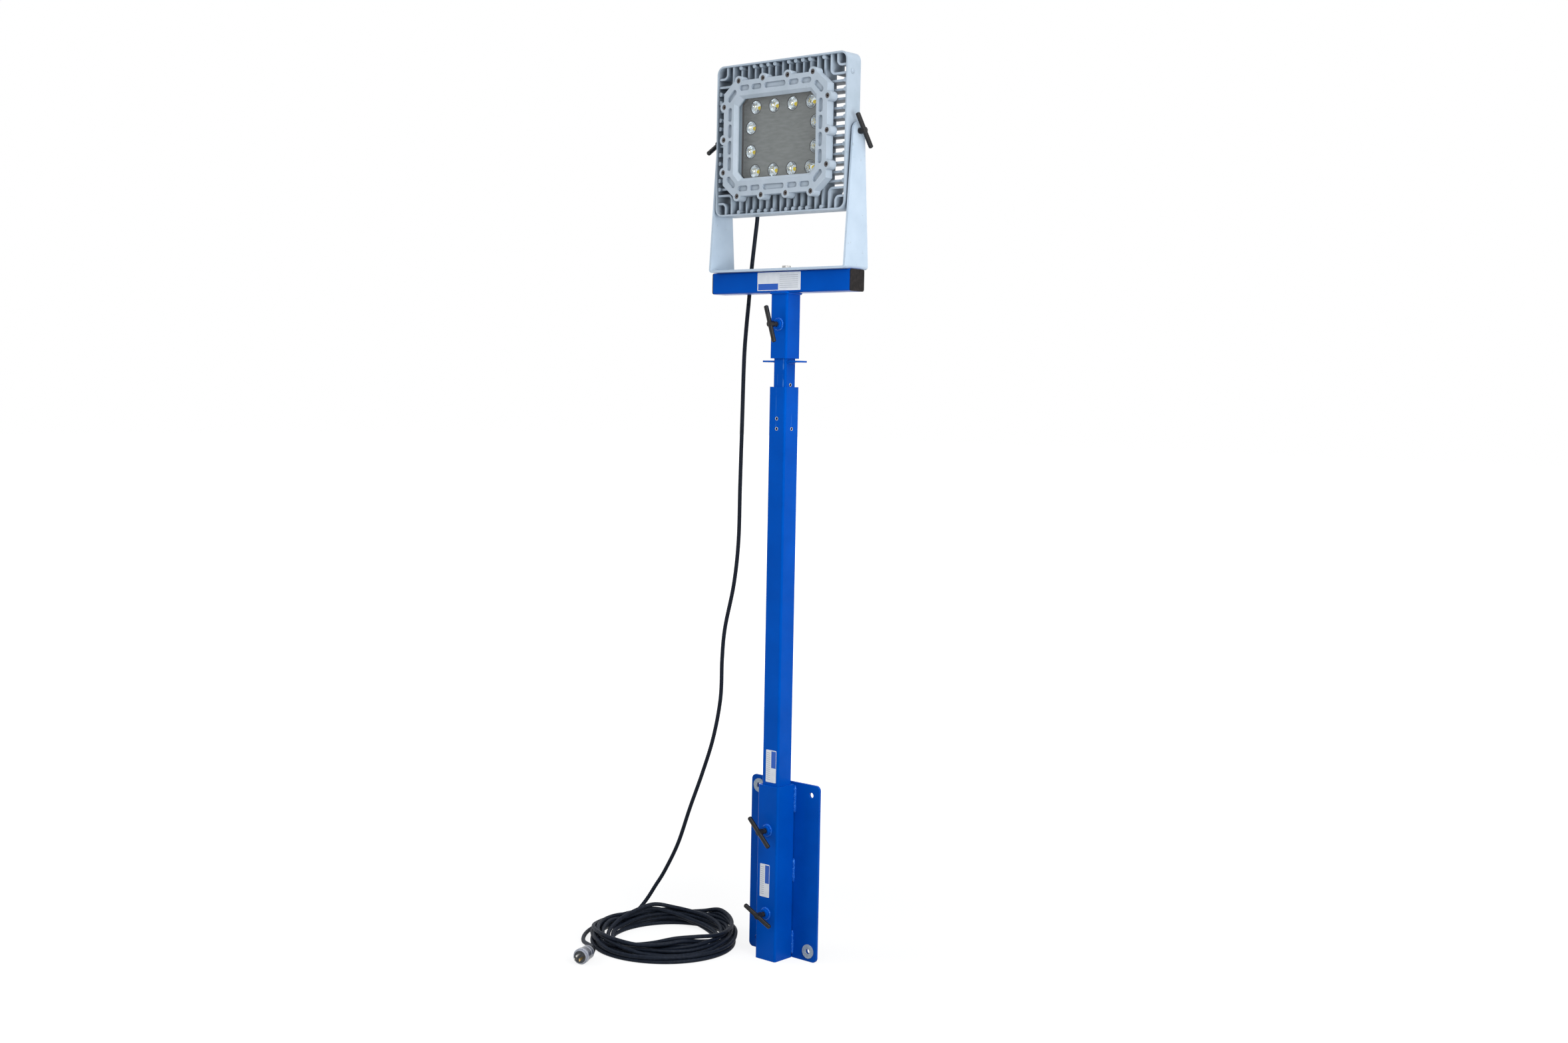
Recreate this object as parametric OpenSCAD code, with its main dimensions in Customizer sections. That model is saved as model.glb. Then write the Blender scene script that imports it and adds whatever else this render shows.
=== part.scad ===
// Pole floodlight: a cast, finned lamp head in a tilting yoke, on a telescoping square-tube mast
// that stands in a bolt-on socket. Millimetres, +Z up, the lamp faces -Y, +X to the viewer's right.
// The origin is the centre of the mounting plate's back face.

/* [Mounting plate] */
// Width of the mounting plate
plate_w = 215; // [190:1:260]
// Height of the mounting plate
plate_h = 430; // [425:1:480]
// Thickness of the mounting plate
plate_t = 6.4; // [5:0.1:10]
// Corner radius of the mounting plate
plate_r = 12; // [4:1:20]
// Bolt hole diameter
bolt_hole_d = 13; // [9:0.5:16]
// Bolt spacing across the plate
bolt_dx = 165; // [140:1:180]
// Bolt spacing up the plate
bolt_dz = 380; // [340:1:400]
// Outside diameter of a fender washer
washer_d = 34; // [28:1:38]
// Thickness of a fender washer
washer_t = 3; // [2:0.5:4]

/* [Tubes] */
// Outside width of the mast tube
mast_w = 50.8; // [45:0.1:60]
// Wall of the socket, mast, neck and crossbar tubes
tube_wall = 5.7; // [4:0.1:7]
// Wall of the extension tube
ext_wall = 3.4; // [2.5:0.1:5]
// Clearance each side between a tube and the tube around it
tube_gap = 0.65; // [0.4:0.05:0.9]
// Outside corner radius of the tubes
tube_r = 5; // [3:0.5:7]
// Height of the socket
socket_h = 425; // [380:1:425]
// Thickness of the plate that closes the socket below
socket_floor_t = 6.4; // [4:0.1:10]
// Length of the mast tube
mast_len = 1372; // [1200:1:1600]
// Extension tube hidden in the mast at rest
ext_inside = 740; // [680:1:800]
// Extension tube showing between the mast and its stop wings
ext_rise = 58; // [56:1:120]
// Gap between the top of the extension tube and the crossbar
ext_top_gap = 8; // [2:1:20]
// Height of the neck sleeve
neck_h = 154; // [140:1:200]

/* [Pin holes] */
// Diameter of the pin holes in the tubes
pin_hole_d = 9; // [6:0.5:12]
// Upper pin hole below the top of the mast
pin_down = 75; // [40:1:120]
// Spacing of the two pin holes in the mast
pin_pitch = 24; // [18:1:40]
// Pin hole of the extension tube above the top of the mast
ext_pin_up = 5; // [5:1:40]

/* [Stop wings] */
// Span of the stop wings
wing_span = 112; // [90:1:150]
// Depth of the stop wings
wing_depth = 34; // [24:1:37]
// Thickness of the stop wings
wing_t = 4; // [3:0.5:6]
// Corner radius of the stop wings
wing_r = 3; // [1:0.5:6]
// Gap between the wings and the neck sleeve
wing_gap = 5; // [1:0.5:10]

/* [Crossbar] */
// How far the crossbar stands out past each yoke arm
bar_over = 1.3; // [0:0.1:30]
// Thickness of the crossbar end caps outside the tube
cap_t = 3; // [2:0.5:6]
// Depth that the crossbar end caps reach inside the tube
cap_plug = 14; // [8:1:25]
// Clearance each side of an end cap inside the tube
cap_fit = 0.1; // [0.05:0.05:0.3]

/* [Yoke] */
// Thickness of the yoke strap
yoke_t = 5.5; // [4:0.5:8]
// Depth of the yoke strap at the crossbar
yoke_depth = 85; // [70:1:100]
// Depth of a yoke arm at the pivot
yoke_tip = 42; // [36:1:60]
// Gap between the lamp and each yoke arm
yoke_gap = 5.2; // [5:0.1:8]
// Height of the pivot above the crossbar
pivot_h = 312; // [300:1:360]
// Inside bend radius of the yoke
yoke_bend = 2.5; // [1:0.5:8]
// Diameter of the bolt that holds the yoke on the crossbar
yoke_bolt_d = 12; // [8:0.5:16]
// Clearance round that bolt
yoke_bolt_fit = 0.3; // [0.1:0.1:1]
// Width across the flats of its head
yoke_head_w = 19; // [15:0.5:24]
// Height of its head
yoke_head_h = 8; // [6:0.5:12]

/* [Lamp housing] */
// Width of the lamp over its rim
lamp_w = 400; // [390:1:430]
// Height of the lamp over its rim
lamp_h = 356; // [346:1:390]
// Rim front face ahead of the pivot axis
rim_front = 34.5; // [32:0.5:40]
// Rim back edge behind the pivot axis
rim_back = 14; // [12:0.5:20]
// Wall of the rim
rim_wall = 4; // [3:0.5:6]
// Outside corner radius of the rim
rim_r = 20; // [10:1:24]
// Wall of the cast case round the light engine
case_wall = 4.5; // [3.5:0.5:6]
// Thickness of the case's bezel flange
flange_t = 5.5; // [4:0.5:10]
// Bezel flange ahead of the rim's front
flange_proud = 2; // [1:0.5:6]
// Diameter of a pivot boss
pivot_boss_d = 34; // [28:1:40]
// How far a pivot boss reaches inside the rim
pivot_boss_in = 12; // [8:1:16]
// Gap between a pivot boss and the yoke arm
pivot_gap = 0.3; // [0.2:0.1:1]

/* [Fins] */
// Thickness of a cooling fin
fin_t = 5; // [3:0.5:6]
// Fin front edge behind the rim's front
fin_drop = 8; // [6:0.5:12]
// Front of the pads and corner ribs behind the rim's front
pad_drop = 3; // [1:0.5:5]
// Pitch of the upright fins
fin_dx = 21.3; // [20:0.1:22]
// Pitch of the side fins
fin_dz = 20.5; // [20:0.1:21.5]
// Diameter of the round pads on the fins' outer ends
pad_d = 10; // [10:0.5:12]
// Pad centre inside the rim's wall
pad_in = 4; // [3:0.5:4.5]
// Outermost corner rib inside the rim's wall
rib_in = 29; // [26:1:32]
// Pitch of the two corner ribs
rib_pitch = 19; // [16:1:20]
// Outside bend radius of a corner rib
rib_bend = 14; // [8:1:18]

/* [Bezel] */
// Half width of the bezel at its side bolts
bezel_x = 159; // [156:1:164]
// Half height of the bezel at its top bolts
bezel_z = 135; // [132:1:140]
// Thickness of the bezel
bezel_t = 18; // [14:0.5:22]
// Corner cut of the bezel, measured across
bezel_cut_x = 34; // [26:1:40]
// Corner cut of the bezel, measured up
bezel_cut_z = 28; // [22:1:34]
// Pitch of the bolts along the top and bottom
bolt_pitch_x = 76; // [72:0.5:78]
// Pitch of the bolts up each side
bolt_pitch_z = 77; // [72:0.5:80]
// Radius of a bolt's scalloped boss
bolt_boss_r = 11.5; // [10:0.5:13]
// Diameter of a bezel bolt's head
bolt_head_d = 11; // [9:0.5:12]
// Clearance round a bolt's head in its counterbore
bolt_head_fit = 0.75; // [0.3:0.05:1]
// Depth of a bolt's counterbore
bolt_sink = 6.5; // [5:0.5:9]
// Bolt head below the bezel's face
bolt_below = 1; // [0.5:0.5:3]
// Width across the flats of a bolt's hex socket
hex_w = 5; // [4:0.5:6]
// Depth of a bolt's hex socket
hex_deep = 4.5; // [3:0.5:5]
// Width of the pockets in the bezel's face
pocket_w = 13; // [10:0.5:14]
// Depth of the pockets in the bezel's face
pocket_deep = 5; // [3:0.5:8]
// Length of the pocket in the middle of the top and bottom
pocket_mid = 66; // [50:1:70]
// Length of the other pockets along the top and bottom
pocket_row = 31; // [26:1:33]
// Length of the pockets up each side
pocket_side = 32; // [26:1:34]
// Length of the slanted pockets in the corners
pocket_corner = 34; // [28:1:36]

/* [Window] */
// Half width of the window in the bezel's front
window_x = 127; // [122:1:130]
// Half height of the window in the bezel's front
window_z = 100; // [97:1:103]
// Corner cut of the window
window_cut = 17; // [10:1:22]
// Slope of the window's edge, measured inwards
window_bevel = 7; // [4:0.5:9]
// Thickness of the glass
glass_t = 5.7; // [4:0.1:6.7]
// Clearance round the glass and under it
glass_fit = 0.3; // [0.1:0.1:0.5]

/* [Light engine] */
// Front of the LED panel ahead of the pivot axis
panel_front = 22.5; // [20:0.5:28]
// Thickness of the LED panel
panel_t = 3; // [2:0.5:4]
// Width of the ledge that carries the LED panel
panel_edge = 8; // [5:0.5:10]
// LED panel past the window at top and bottom
panel_over = 2; // [1:0.5:4]
// Clearance round the LED panel and the cups in it
panel_fit = 0.3; // [0.1:0.1:0.5]
// Cavity floor ahead of the pivot axis
cavity_floor = 8; // [5:0.5:12]
// Pitch of the LEDs along the top and bottom rows
led_pitch_x = 56.7; // [50:0.1:60]
// Half height between the top and bottom rows
led_row_z = 75; // [70:0.5:77]
// Half width between the two side columns
led_side_x = 99.5; // [96:0.5:102]
// Pitch of the LEDs in a side column
led_pitch_z = 56; // [50:0.5:60]
// Radius of a reflector cup's mouth
cup_r = 16; // [13:0.5:17]
// Radius of a reflector cup's foot
cup_foot_r = 6; // [5:0.5:8]
// Wall of a reflector cup
cup_skin = 1; // [0.6:0.1:1.5]
// Radius of an LED
chip_r = 4; // [3:0.5:5]
// Thickness of an LED
chip_t = 2; // [1:0.5:3]

/* [Driver case] */
// Width of the driver case
driver_w = 124; // [100:1:130]
// Height of the driver case
driver_h = 200; // [180:1:220]
// Depth of the driver case with its lid
driver_depth = 54; // [52:1:60]
// Corner radius of the driver case
driver_r = 14; // [8:1:20]
// Thickness of the lid
lid_t = 4; // [3:0.5:5]
// How far the lid stands out past the case
lid_lip = 4; // [2:0.5:6]
// Diameter of a lid screw's head
lid_screw_d = 9; // [7:0.5:11]
// Height of a lid screw's head
lid_screw_h = 3.5; // [2.5:0.5:4]
// Length of the cable gland
gland_len = 24; // [20:1:30]
// Length of the gland's domed nut
gland_dome = 10; // [8:0.5:14]
// Width across the flats of the cable gland
gland_w = 22; // [20:0.5:22.5]
// Cable gland below the pivot
gland_drop = 70; // [50:1:85]

/* [Handles] */
// Length of a T-handle's bar
handle_len = 90; // [70:1:110]
// Diameter of a T-handle's bar
handle_d = 11; // [10:0.5:15]
// Rounding of the ends of a T-handle's bar
handle_r = 3.5; // [2:0.5:4.5]
// Diameter of a T-handle's hub
hub_d = 15; // [15:0.5:22]
// Height of a T-handle's hub below the bar's middle
hub_h = 11; // [8:0.5:12]
// Diameter of a clamp screw
screw_d = 12; // [8:0.5:14]
// Running clearance round a clamp screw
screw_gap = 0.06; // [0.03:0.01:0.1]
// Gap between a clamp screw's tip and the tube that it holds
tip_gap = 0.3; // [0.2:0.1:0.6]
// Diameter of the welded boss round a clamp screw
boss_d = 24; // [20:0.5:30]
// Height of that boss
boss_h = 9; // [6:0.5:14]
// Distance from a tube's face to the bar of its handle
handle_off = 30; // [26:1:45]
// Distance from a yoke arm to the bar of its handle
yoke_handle_off = 15; // [13:0.5:25]
// Upper socket screw above the ground
upper_screw_up = 317; // [260:1:350]
// Lower socket screw above the ground
lower_screw_up = 114; // [80:1:160]
// Neck screw above the foot of the neck sleeve
neck_screw_up = 80; // [60:1:100]
// Turn of the upper socket handle
upper_turn = 45; // [0:1:180]
// Turn of the lower socket handle
lower_turn = 64; // [0:1:180]
// Turn of the neck handle
neck_turn = 18; // [0:1:180]
// Turn of the left yoke handle
yoke_left_turn = 144; // [0:1:180]
// Turn of the right yoke handle
yoke_right_turn = 126; // [0:1:180]

/* [Cord] */
// Diameter of the cord
cord_d = 10; // [8:0.5:11]
// Inside radius of the coil
coil_in = 105; // [90:1:120]
// Outside radius of the coil
coil_out = 190; // [170:1:200]
// Height of the coil
coil_h = 45; // [35:1:60]
// Diameter of the plug
plug_d = 38; // [34:0.5:44]
// Length of the plug's body
plug_len = 40; // [32:0.5:46]
// Length of the plug's rear sleeve
plug_sleeve = 26; // [18:0.5:30]
// Diameter of the plug's rear sleeve
plug_sleeve_d = 30; // [24:0.5:32]
// Thickness of the plug's face
plug_face_t = 4; // [3:0.5:6]

/* [Hidden] */
$fn = 48;
eps = 0.01;
blue = [0, 0.3, 0.7];
black = [0.06, 0.06, 0.07];
jacket = [0.07, 0.08, 0.1];

// Tubes, each sized round the one inside it
socket_w = mast_w + 2*tube_gap + 2*tube_wall;
ext_w = mast_w - 2*tube_wall - 2*tube_gap;
neck_w = ext_w + 2*tube_gap + 2*tube_wall;
bar_w = neck_w;
tube_min_r = 0.8;

// Places on the mast, from the ground up
axis_y = -plate_t - socket_w/2;
ground_z = -plate_h/2;
mast_z0 = ground_z + socket_floor_t;
mast_top = mast_z0 + mast_len;
wing_z = mast_top + ext_rise;
neck_z = wing_z + wing_t + wing_gap;
bar_z = neck_z + neck_h;
yoke_z = bar_z + bar_w;
pivot_z = yoke_z + pivot_h;
ext_z0 = mast_top - ext_inside;
ext_len = bar_z - ext_top_gap - ext_z0;
front_y = axis_y - mast_w/2;
socket_front_y = axis_y - socket_w/2;

// Clamp screws and pin holes
upper_screw_z = ground_z + upper_screw_up;
lower_screw_z = ground_z + lower_screw_up;
neck_screw_z = neck_z + neck_screw_up;
screw_bore_d = screw_d + 2*screw_gap;
hub_into_bar = handle_d/3;
bore_foot = tube_wall + tube_gap - tip_gap;
mast_pins = [mast_top - pin_down, mast_top - pin_down - pin_pitch];
ext_pin_z = mast_top + ext_pin_up;

// Yoke and crossbar, sized round the lamp
yoke_in = lamp_w/2 + yoke_gap;
yoke_out = yoke_in + yoke_t;
yoke_top = pivot_z + yoke_tip/2;
bar_len = 2*(yoke_out + bar_over);
bolt_grip = 2*tube_wall;

// Lamp, measured from the pivot axis with its front towards -Y
flange_front = rim_front + flange_proud;
bezel_front = flange_front + bezel_t;
bezel_bolts = concat(
  [for (s = [-1, 1], i = [-1.5:1.5]) [i*bolt_pitch_x, s*bezel_z]],
  [for (s = [-1, 1], i = [-1:1]) [s*bezel_x, i*bolt_pitch_z]]);
leds = concat(
  [for (s = [-1, 1], i = [-1.5:1.5]) [i*led_pitch_x, s*led_row_z]],
  [for (s = [-1, 1], i = [-0.5, 0.5]) [s*led_side_x, i*led_pitch_z]]);
panel_z = window_z + panel_over;
case_x = window_x + case_wall;
case_z = panel_z + case_wall;
case_cut = window_cut + case_wall*(2 - sqrt(2));
arm_foot = yoke_t + yoke_gap + rim_wall + pivot_boss_in - pivot_gap;

// Fins, by number from the middle; the ones beside a bolt have no pad
top_fins = [-6:6];
top_pads = [-6, -4, -3, -2, -1, 1, 2, 3, 4, 6];
side_fins = [-5.5:5.5];
side_pads = [-5.5, -4.5, -2.5, -1.5, 1.5, 2.5, 4.5, 5.5];

// Cord: points chosen by hand along the lead, the drop and the coil's place on the ground
gland_x = -driver_w/2 - gland_len;
gland_y = axis_y + 49;
gland_z = pivot_z - gland_drop;
lead_end_z = bar_z - 20;
joint_gap = 0.3;
lead_route = [
  [gland_x - joint_gap, gland_y, gland_z],
  [gland_x - 12, gland_y, gland_z],
  [gland_x - 24, gland_y, gland_z - 2],
  [gland_x - 41, gland_y, gland_z - 12],
  [gland_x - 51, gland_y, gland_z - 29],
  [gland_x - 53, gland_y, gland_z - 46],
  [-138, gland_y, 1577],
  [-145, gland_y, 1520],
  [-154, gland_y, 1450],
  [-162, gland_y, lead_end_z]
];
drop_route = [
  [-162, gland_y, lead_end_z - joint_gap],
  [-168, 10, 1300],
  [-173, 10, 1226],
  [-175, 9, 1070],
  [-178, 9, 917],
  [-180, 9, 783],
  [-194, 10, 674],
  [-222, 11, 563],
  [-231, 12, 484],
  [-236, 14, 384],
  [-262, 18, 280],
  [-301, 22, 184],
  [-346, 25, 85],
  [-387, 26, -14],
  [-428, 21, -92],
  [-449, 8, -132],
  [-461, -14, -164],
  [-455, -75, -178]
];
coil_c = [-290, -135];
coil_edge_r = coil_h/2 - 4;
plug_c = [-306, -364];
plug_turn = 291;
plug_ahead = [cos(plug_turn), sin(plug_turn)];
plug_back = plug_c - plug_sleeve*plug_ahead;
plug_grip = plug_back + 4*plug_ahead;
tail_route = [
  [-338, -272, ground_z + 26],
  [-332, -296, ground_z + 25],
  [-324, -318, ground_z + 21],
  [plug_back[0], plug_back[1], ground_z + plug_d/2],
  [plug_grip[0], plug_grip[1], ground_z + plug_d/2]
];
blade = [6.5, 1.6, 16];
blade_pitch = 12.7;
earth_d = 4.8;
earth_len = 18;
earth_off = 7;

// Shapes that repeat
module round_rect(w, h, r) {
  square([w - 2*r, h], center = true);
  square([w, h - 2*r], center = true);
  for (x = [-1, 1], y = [-1, 1])
    translate([x*(w/2 - r), y*(h/2 - r)]) circle(r = r);
}

module square_tube(w, wall, len) {
  inside = w - 2*wall;
  linear_extrude(len) difference() {
    round_rect(w, w, tube_r);
    round_rect(inside, inside, max(tube_r - wall, tube_min_r));
  }
}

module chamfer_rect(x, z, cx, cz) {
  polygon([
    [x, -z + cz], [x, z - cz], [x - cx, z], [-x + cx, z],
    [-x, z - cz], [-x, -z + cz], [-x + cx, -z], [x - cx, -z]
  ]);
}

// A slab that stands upright on the lamp: its back lies at y, and it reaches forward by depth
module upright(y, depth) {
  translate([0, y, 0]) rotate([90, 0, 0]) linear_extrude(depth) children();
}

module at_pivot() {
  translate([0, axis_y, pivot_z]) children();
}

// Turns +Z outwards from the front of the mast at height z
module on_front(y, z) {
  translate([0, y, z]) rotate([90, 0, 0]) children();
}

module on_arm(side) {
  translate([side*yoke_out, axis_y, pivot_z]) rotate([0, side*90, 0]) children();
}

module clamp_screw(foot, reach) {
  color("silver") translate([0, 0, -foot]) cylinder(d = screw_d, h = foot + reach);
}

// Bar with rounded ends, turned about its own length
module bar(d, len, r) {
  rotate([90, 0, 0]) rotate_extrude() intersection() {
    round_rect(d, len, r);
    translate([0, -len/2]) square([d, len]);
  }
}

module grip(reach, turn) {
  color(black) rotate(turn) difference() {
    union() {
      translate([0, 0, reach - hub_h]) cylinder(d = hub_d, h = hub_h + hub_into_bar);
      translate([0, 0, reach]) bar(handle_d, handle_len, handle_r);
    }
    translate([0, 0, reach - hub_h - 1]) cylinder(d = screw_d, h = hub_h + 1);
  }
}

module boss(z, y) {
  on_front(y, z) difference() {
    cylinder(d = boss_d, h = boss_h);
    translate([0, 0, -1]) cylinder(d = screw_bore_d, h = boss_h + 2);
  }
}

module front_bore(y, z, d) {
  on_front(y, z) translate([0, 0, -tube_wall - 1]) cylinder(d = d, h = tube_wall + 2);
}

module side_bore(z, d) {
  translate([0, axis_y, z]) rotate([0, 90, 0]) cylinder(d = d, h = mast_w);
}

// Socket and mounting plate
module mount_plate() {
  color([0.02, 0.17, 0.5]) rotate([90, 0, 0]) linear_extrude(plate_t) difference() {
    round_rect(plate_w, plate_h, plate_r);
    for (x = [-1, 1], z = [-1, 1])
      translate([x*bolt_dx/2, z*bolt_dz/2]) circle(d = bolt_hole_d);
  }
}

module plate_washers() {
  color("silver") for (s = [-1, 1])
    translate([s*bolt_dx/2, -plate_t, -s*bolt_dz/2]) rotate([90, 0, 0]) linear_extrude(washer_t)
      difference() {
        circle(d = washer_d);
        circle(d = bolt_hole_d);
      }
}

module socket_tube() {
  color(blue) difference() {
    translate([0, axis_y, ground_z + socket_floor_t])
      square_tube(socket_w, tube_wall, socket_h - socket_floor_t);
    for (z = [upper_screw_z, lower_screw_z]) front_bore(socket_front_y, z, screw_bore_d);
  }
}

module socket_floor() {
  color(blue) translate([0, axis_y, ground_z])
    linear_extrude(socket_floor_t) round_rect(socket_w, socket_w, tube_r);
}

module socket_bosses() {
  color(blue) for (z = [upper_screw_z, lower_screw_z]) boss(z, socket_front_y);
}

// Mast, extension and neck
module mast_tube() {
  color(blue) difference() {
    translate([0, axis_y, mast_z0]) square_tube(mast_w, tube_wall, mast_len);
    for (z = mast_pins) front_bore(front_y, z, pin_hole_d);
    side_bore(mast_pins[1], pin_hole_d);
  }
}

module extension_tube() {
  color(blue) difference() {
    translate([0, axis_y, ext_z0]) square_tube(ext_w, ext_wall, ext_len);
    side_bore(ext_pin_z, pin_hole_d);
  }
}

module stop_wings() {
  color(blue) translate([0, axis_y, wing_z]) linear_extrude(wing_t) difference() {
    round_rect(wing_span, wing_depth, wing_r);
    square(ext_w, center = true);
  }
}

module neck_tube() {
  color(blue) difference() {
    translate([0, axis_y, neck_z]) square_tube(neck_w, tube_wall, neck_h);
    front_bore(front_y, neck_screw_z, screw_bore_d);
  }
}

module neck_boss() {
  color(blue) boss(neck_screw_z, front_y);
}

// Crossbar and yoke
module yoke_bolt_bore(z, h) {
  translate([0, axis_y, z]) cylinder(d = yoke_bolt_d + 2*yoke_bolt_fit, h = h);
}

module crossbar() {
  color(blue) difference() {
    translate([-bar_len/2, axis_y, bar_z + bar_w/2]) rotate([0, 90, 0])
      square_tube(bar_w, tube_wall, bar_len);
    yoke_bolt_bore(yoke_z - bolt_grip, bolt_grip + 1);
  }
}

module crossbar_cap(side) {
  inside_w = bar_w - 2*tube_wall - 2*cap_fit;
  color(black) translate([side*bar_len/2, axis_y, bar_z + bar_w/2]) rotate([0, side*90, 0]) {
    linear_extrude(cap_t) round_rect(bar_w, bar_w, tube_r);
    translate([0, 0, -cap_plug]) linear_extrude(cap_plug) square(inside_w, center = true);
  }
}

module crossbar_cap_left() { crossbar_cap(-1); }
module crossbar_cap_right() { crossbar_cap(1); }

// Front view of a U-shape with round corners below, open at the top
module u_block(half_w, foot, h, r) {
  translate([-half_w + r, foot]) square([2*half_w - 2*r, h]);
  translate([-half_w, foot + r]) square([2*half_w, h - r]);
  for (s = [-1, 1]) translate([s*(half_w - r), foot + r]) circle(r = r);
}

module yoke_front() {
  h = yoke_top - yoke_z;
  difference() {
    u_block(yoke_out, 0, h, yoke_bend + yoke_t);
    u_block(yoke_in, yoke_t, h, yoke_bend);
  }
}

module yoke_side() {
  straight = yoke_bend + yoke_t;
  polygon([
    [-yoke_depth/2, 0], [yoke_depth/2, 0], [yoke_depth/2, straight],
    [yoke_tip/2, pivot_h], [-yoke_tip/2, pivot_h], [-yoke_depth/2, straight]
  ]);
  translate([0, pivot_h]) circle(d = yoke_tip);
}

module yoke() {
  color([0.78, 0.85, 0.91]) difference() {
    intersection() {
      translate([0, axis_y + yoke_depth/2, yoke_z]) rotate([90, 0, 0])
        linear_extrude(yoke_depth) yoke_front();
      translate([-yoke_out, axis_y, yoke_z]) rotate([90, 0, 90])
        linear_extrude(2*yoke_out) yoke_side();
    }
    translate([-yoke_out - 1, axis_y, pivot_z]) rotate([0, 90, 0])
      cylinder(d = screw_bore_d, h = 2*yoke_out + 2);
    yoke_bolt_bore(yoke_z - 1, yoke_t + 2);
  }
}

module yoke_bolt() {
  color("silver") translate([0, axis_y, yoke_z + yoke_t]) {
    cylinder(d = yoke_head_w/cos(30), h = yoke_head_h, $fn = 6);
    translate([0, 0, -yoke_t - bolt_grip]) cylinder(d = yoke_bolt_d, h = yoke_t + bolt_grip);
  }
}

// Lamp head
module rim() {
  upright(rim_back, rim_front + rim_back) difference() {
    round_rect(lamp_w, lamp_h, rim_r);
    round_rect(lamp_w - 2*rim_wall, lamp_h - 2*rim_wall, rim_r - rim_wall);
  }
}

// Fins run from the case to the rim; behind the bezel's corners they cross
module fin_plan() {
  root_x = case_x - case_cut;
  root_z = case_z - case_cut;
  up = (lamp_h - rim_wall)/2 - root_z;
  out = (lamp_w - rim_wall)/2 - root_x;
  for (s = [-1, 1]) {
    for (i = top_fins) translate([i*fin_dx, s*(root_z + up/2)]) square([fin_t, up], center = true);
    for (i = side_fins) translate([s*(root_x + out/2), i*fin_dz]) square([out, fin_t], center = true);
  }
}

// Round pads stand on the fins' outer ends, just inside the rim
module pad_plan() {
  for (s = [-1, 1]) {
    for (i = top_pads) translate([i*fin_dx, s*(lamp_h/2 - rim_wall - pad_in)]) circle(d = pad_d);
    for (i = side_pads) translate([s*(lamp_w/2 - rim_wall - pad_in), i*fin_dz]) circle(d = pad_d);
  }
}

// Two nested ribs turn each corner from the top wall to the side wall
module corner_block(r) {
  reach = rib_in + rib_pitch;
  translate([r, 0]) square([reach, reach]);
  translate([0, r]) square([reach, reach]);
  translate([r, r]) circle(r = r);
}

module corner_rib(k) {
  in = rim_wall + rib_in + k*rib_pitch;
  translate([lamp_w/2 - in, lamp_h/2 - in]) difference() {
    corner_block(rib_bend);
    translate([fin_t, fin_t]) corner_block(rib_bend - fin_t);
  }
}

module inside_rim() {
  intersection() {
    children();
    round_rect(lamp_w - rim_wall, lamp_h - rim_wall, rim_r - rim_wall/2);
  }
}

module fins() {
  upright(rim_back, rim_front - fin_drop + rim_back) inside_rim() fin_plan();
  upright(rim_back, rim_front - pad_drop + rim_back) inside_rim() {
    pad_plan();
    for (sx = [0, 1], sz = [0, 1], k = [0, 1]) mirror([sx, 0]) mirror([0, sz]) corner_rib(k);
  }
}

module window_plan(x, z) {
  chamfer_rect(x, z, window_cut, window_cut);
}

module case_body() {
  upright(rim_back, flange_front + rim_back) chamfer_rect(case_x, case_z, case_cut, case_cut);
  upright(-flange_front + flange_t, flange_t) bezel_outline();
}

// Room for the light engine, with a ledge that carries the LED panel
module case_cavity() {
  upright(-panel_front + panel_t, bezel_front) window_plan(window_x, panel_z);
  upright(-cavity_floor, bezel_front) window_plan(window_x - panel_edge, panel_z - panel_edge);
}

module pivot_bosses() {
  for (s = [-1, 1])
    translate([s*(lamp_w/2 - rim_wall - pivot_boss_in), 0, 0]) rotate([0, s*90, 0])
      cylinder(d = pivot_boss_d, h = pivot_boss_in + rim_wall + yoke_gap - pivot_gap);
}

module lamp_housing() {
  color([0.66, 0.72, 0.78]) at_pivot() difference() {
    union() {
      rim();
      fins();
      case_body();
      pivot_bosses();
    }
    case_cavity();
    for (s = [-1, 1])
      translate([s*(lamp_w/2 - rim_wall - pivot_boss_in - 1), 0, 0]) rotate([0, s*90, 0])
        cylinder(d = screw_bore_d, h = pivot_boss_in + rim_wall + yoke_gap + 2);
  }
}

module bezel_outline() {
  chamfer_rect(bezel_x, bezel_z, bezel_cut_x, bezel_cut_z);
  for (p = bezel_bolts) translate(p) circle(r = bolt_boss_r);
}

module pocket(len) {
  square([len - pocket_w, pocket_w], center = true);
  for (s = [-1, 1]) translate([s*(len - pocket_w)/2, 0]) circle(d = pocket_w);
}

// Pockets lie in the band between the window and the bolts, two between each pair of bolts
module bezel_pockets() {
  mid_z = (bezel_z + window_z)/2;
  mid_x = (bezel_x + window_x)/2 - window_bevel/2;
  corner_x = bezel_x - (bezel_cut_x + window_cut)/2;
  corner_z = bezel_z - (bezel_cut_z + window_cut)/2 - bolt_boss_r;
  quarter = bolt_pitch_z/4;
  for (s = [-1, 1]) {
    translate([0, s*mid_z]) pocket(pocket_mid);
    for (t = [-1, 1], i = [0.75, 1.25]) translate([t*i*bolt_pitch_x, s*mid_z]) pocket(pocket_row);
    for (i = [-3, -1, 1, 3]) translate([s*mid_x, i*quarter]) rotate(90) pocket(pocket_side);
    for (t = [-1, 1]) translate([s*corner_x, t*corner_z]) rotate(-s*t*45) pocket(pocket_corner);
  }
}

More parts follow.
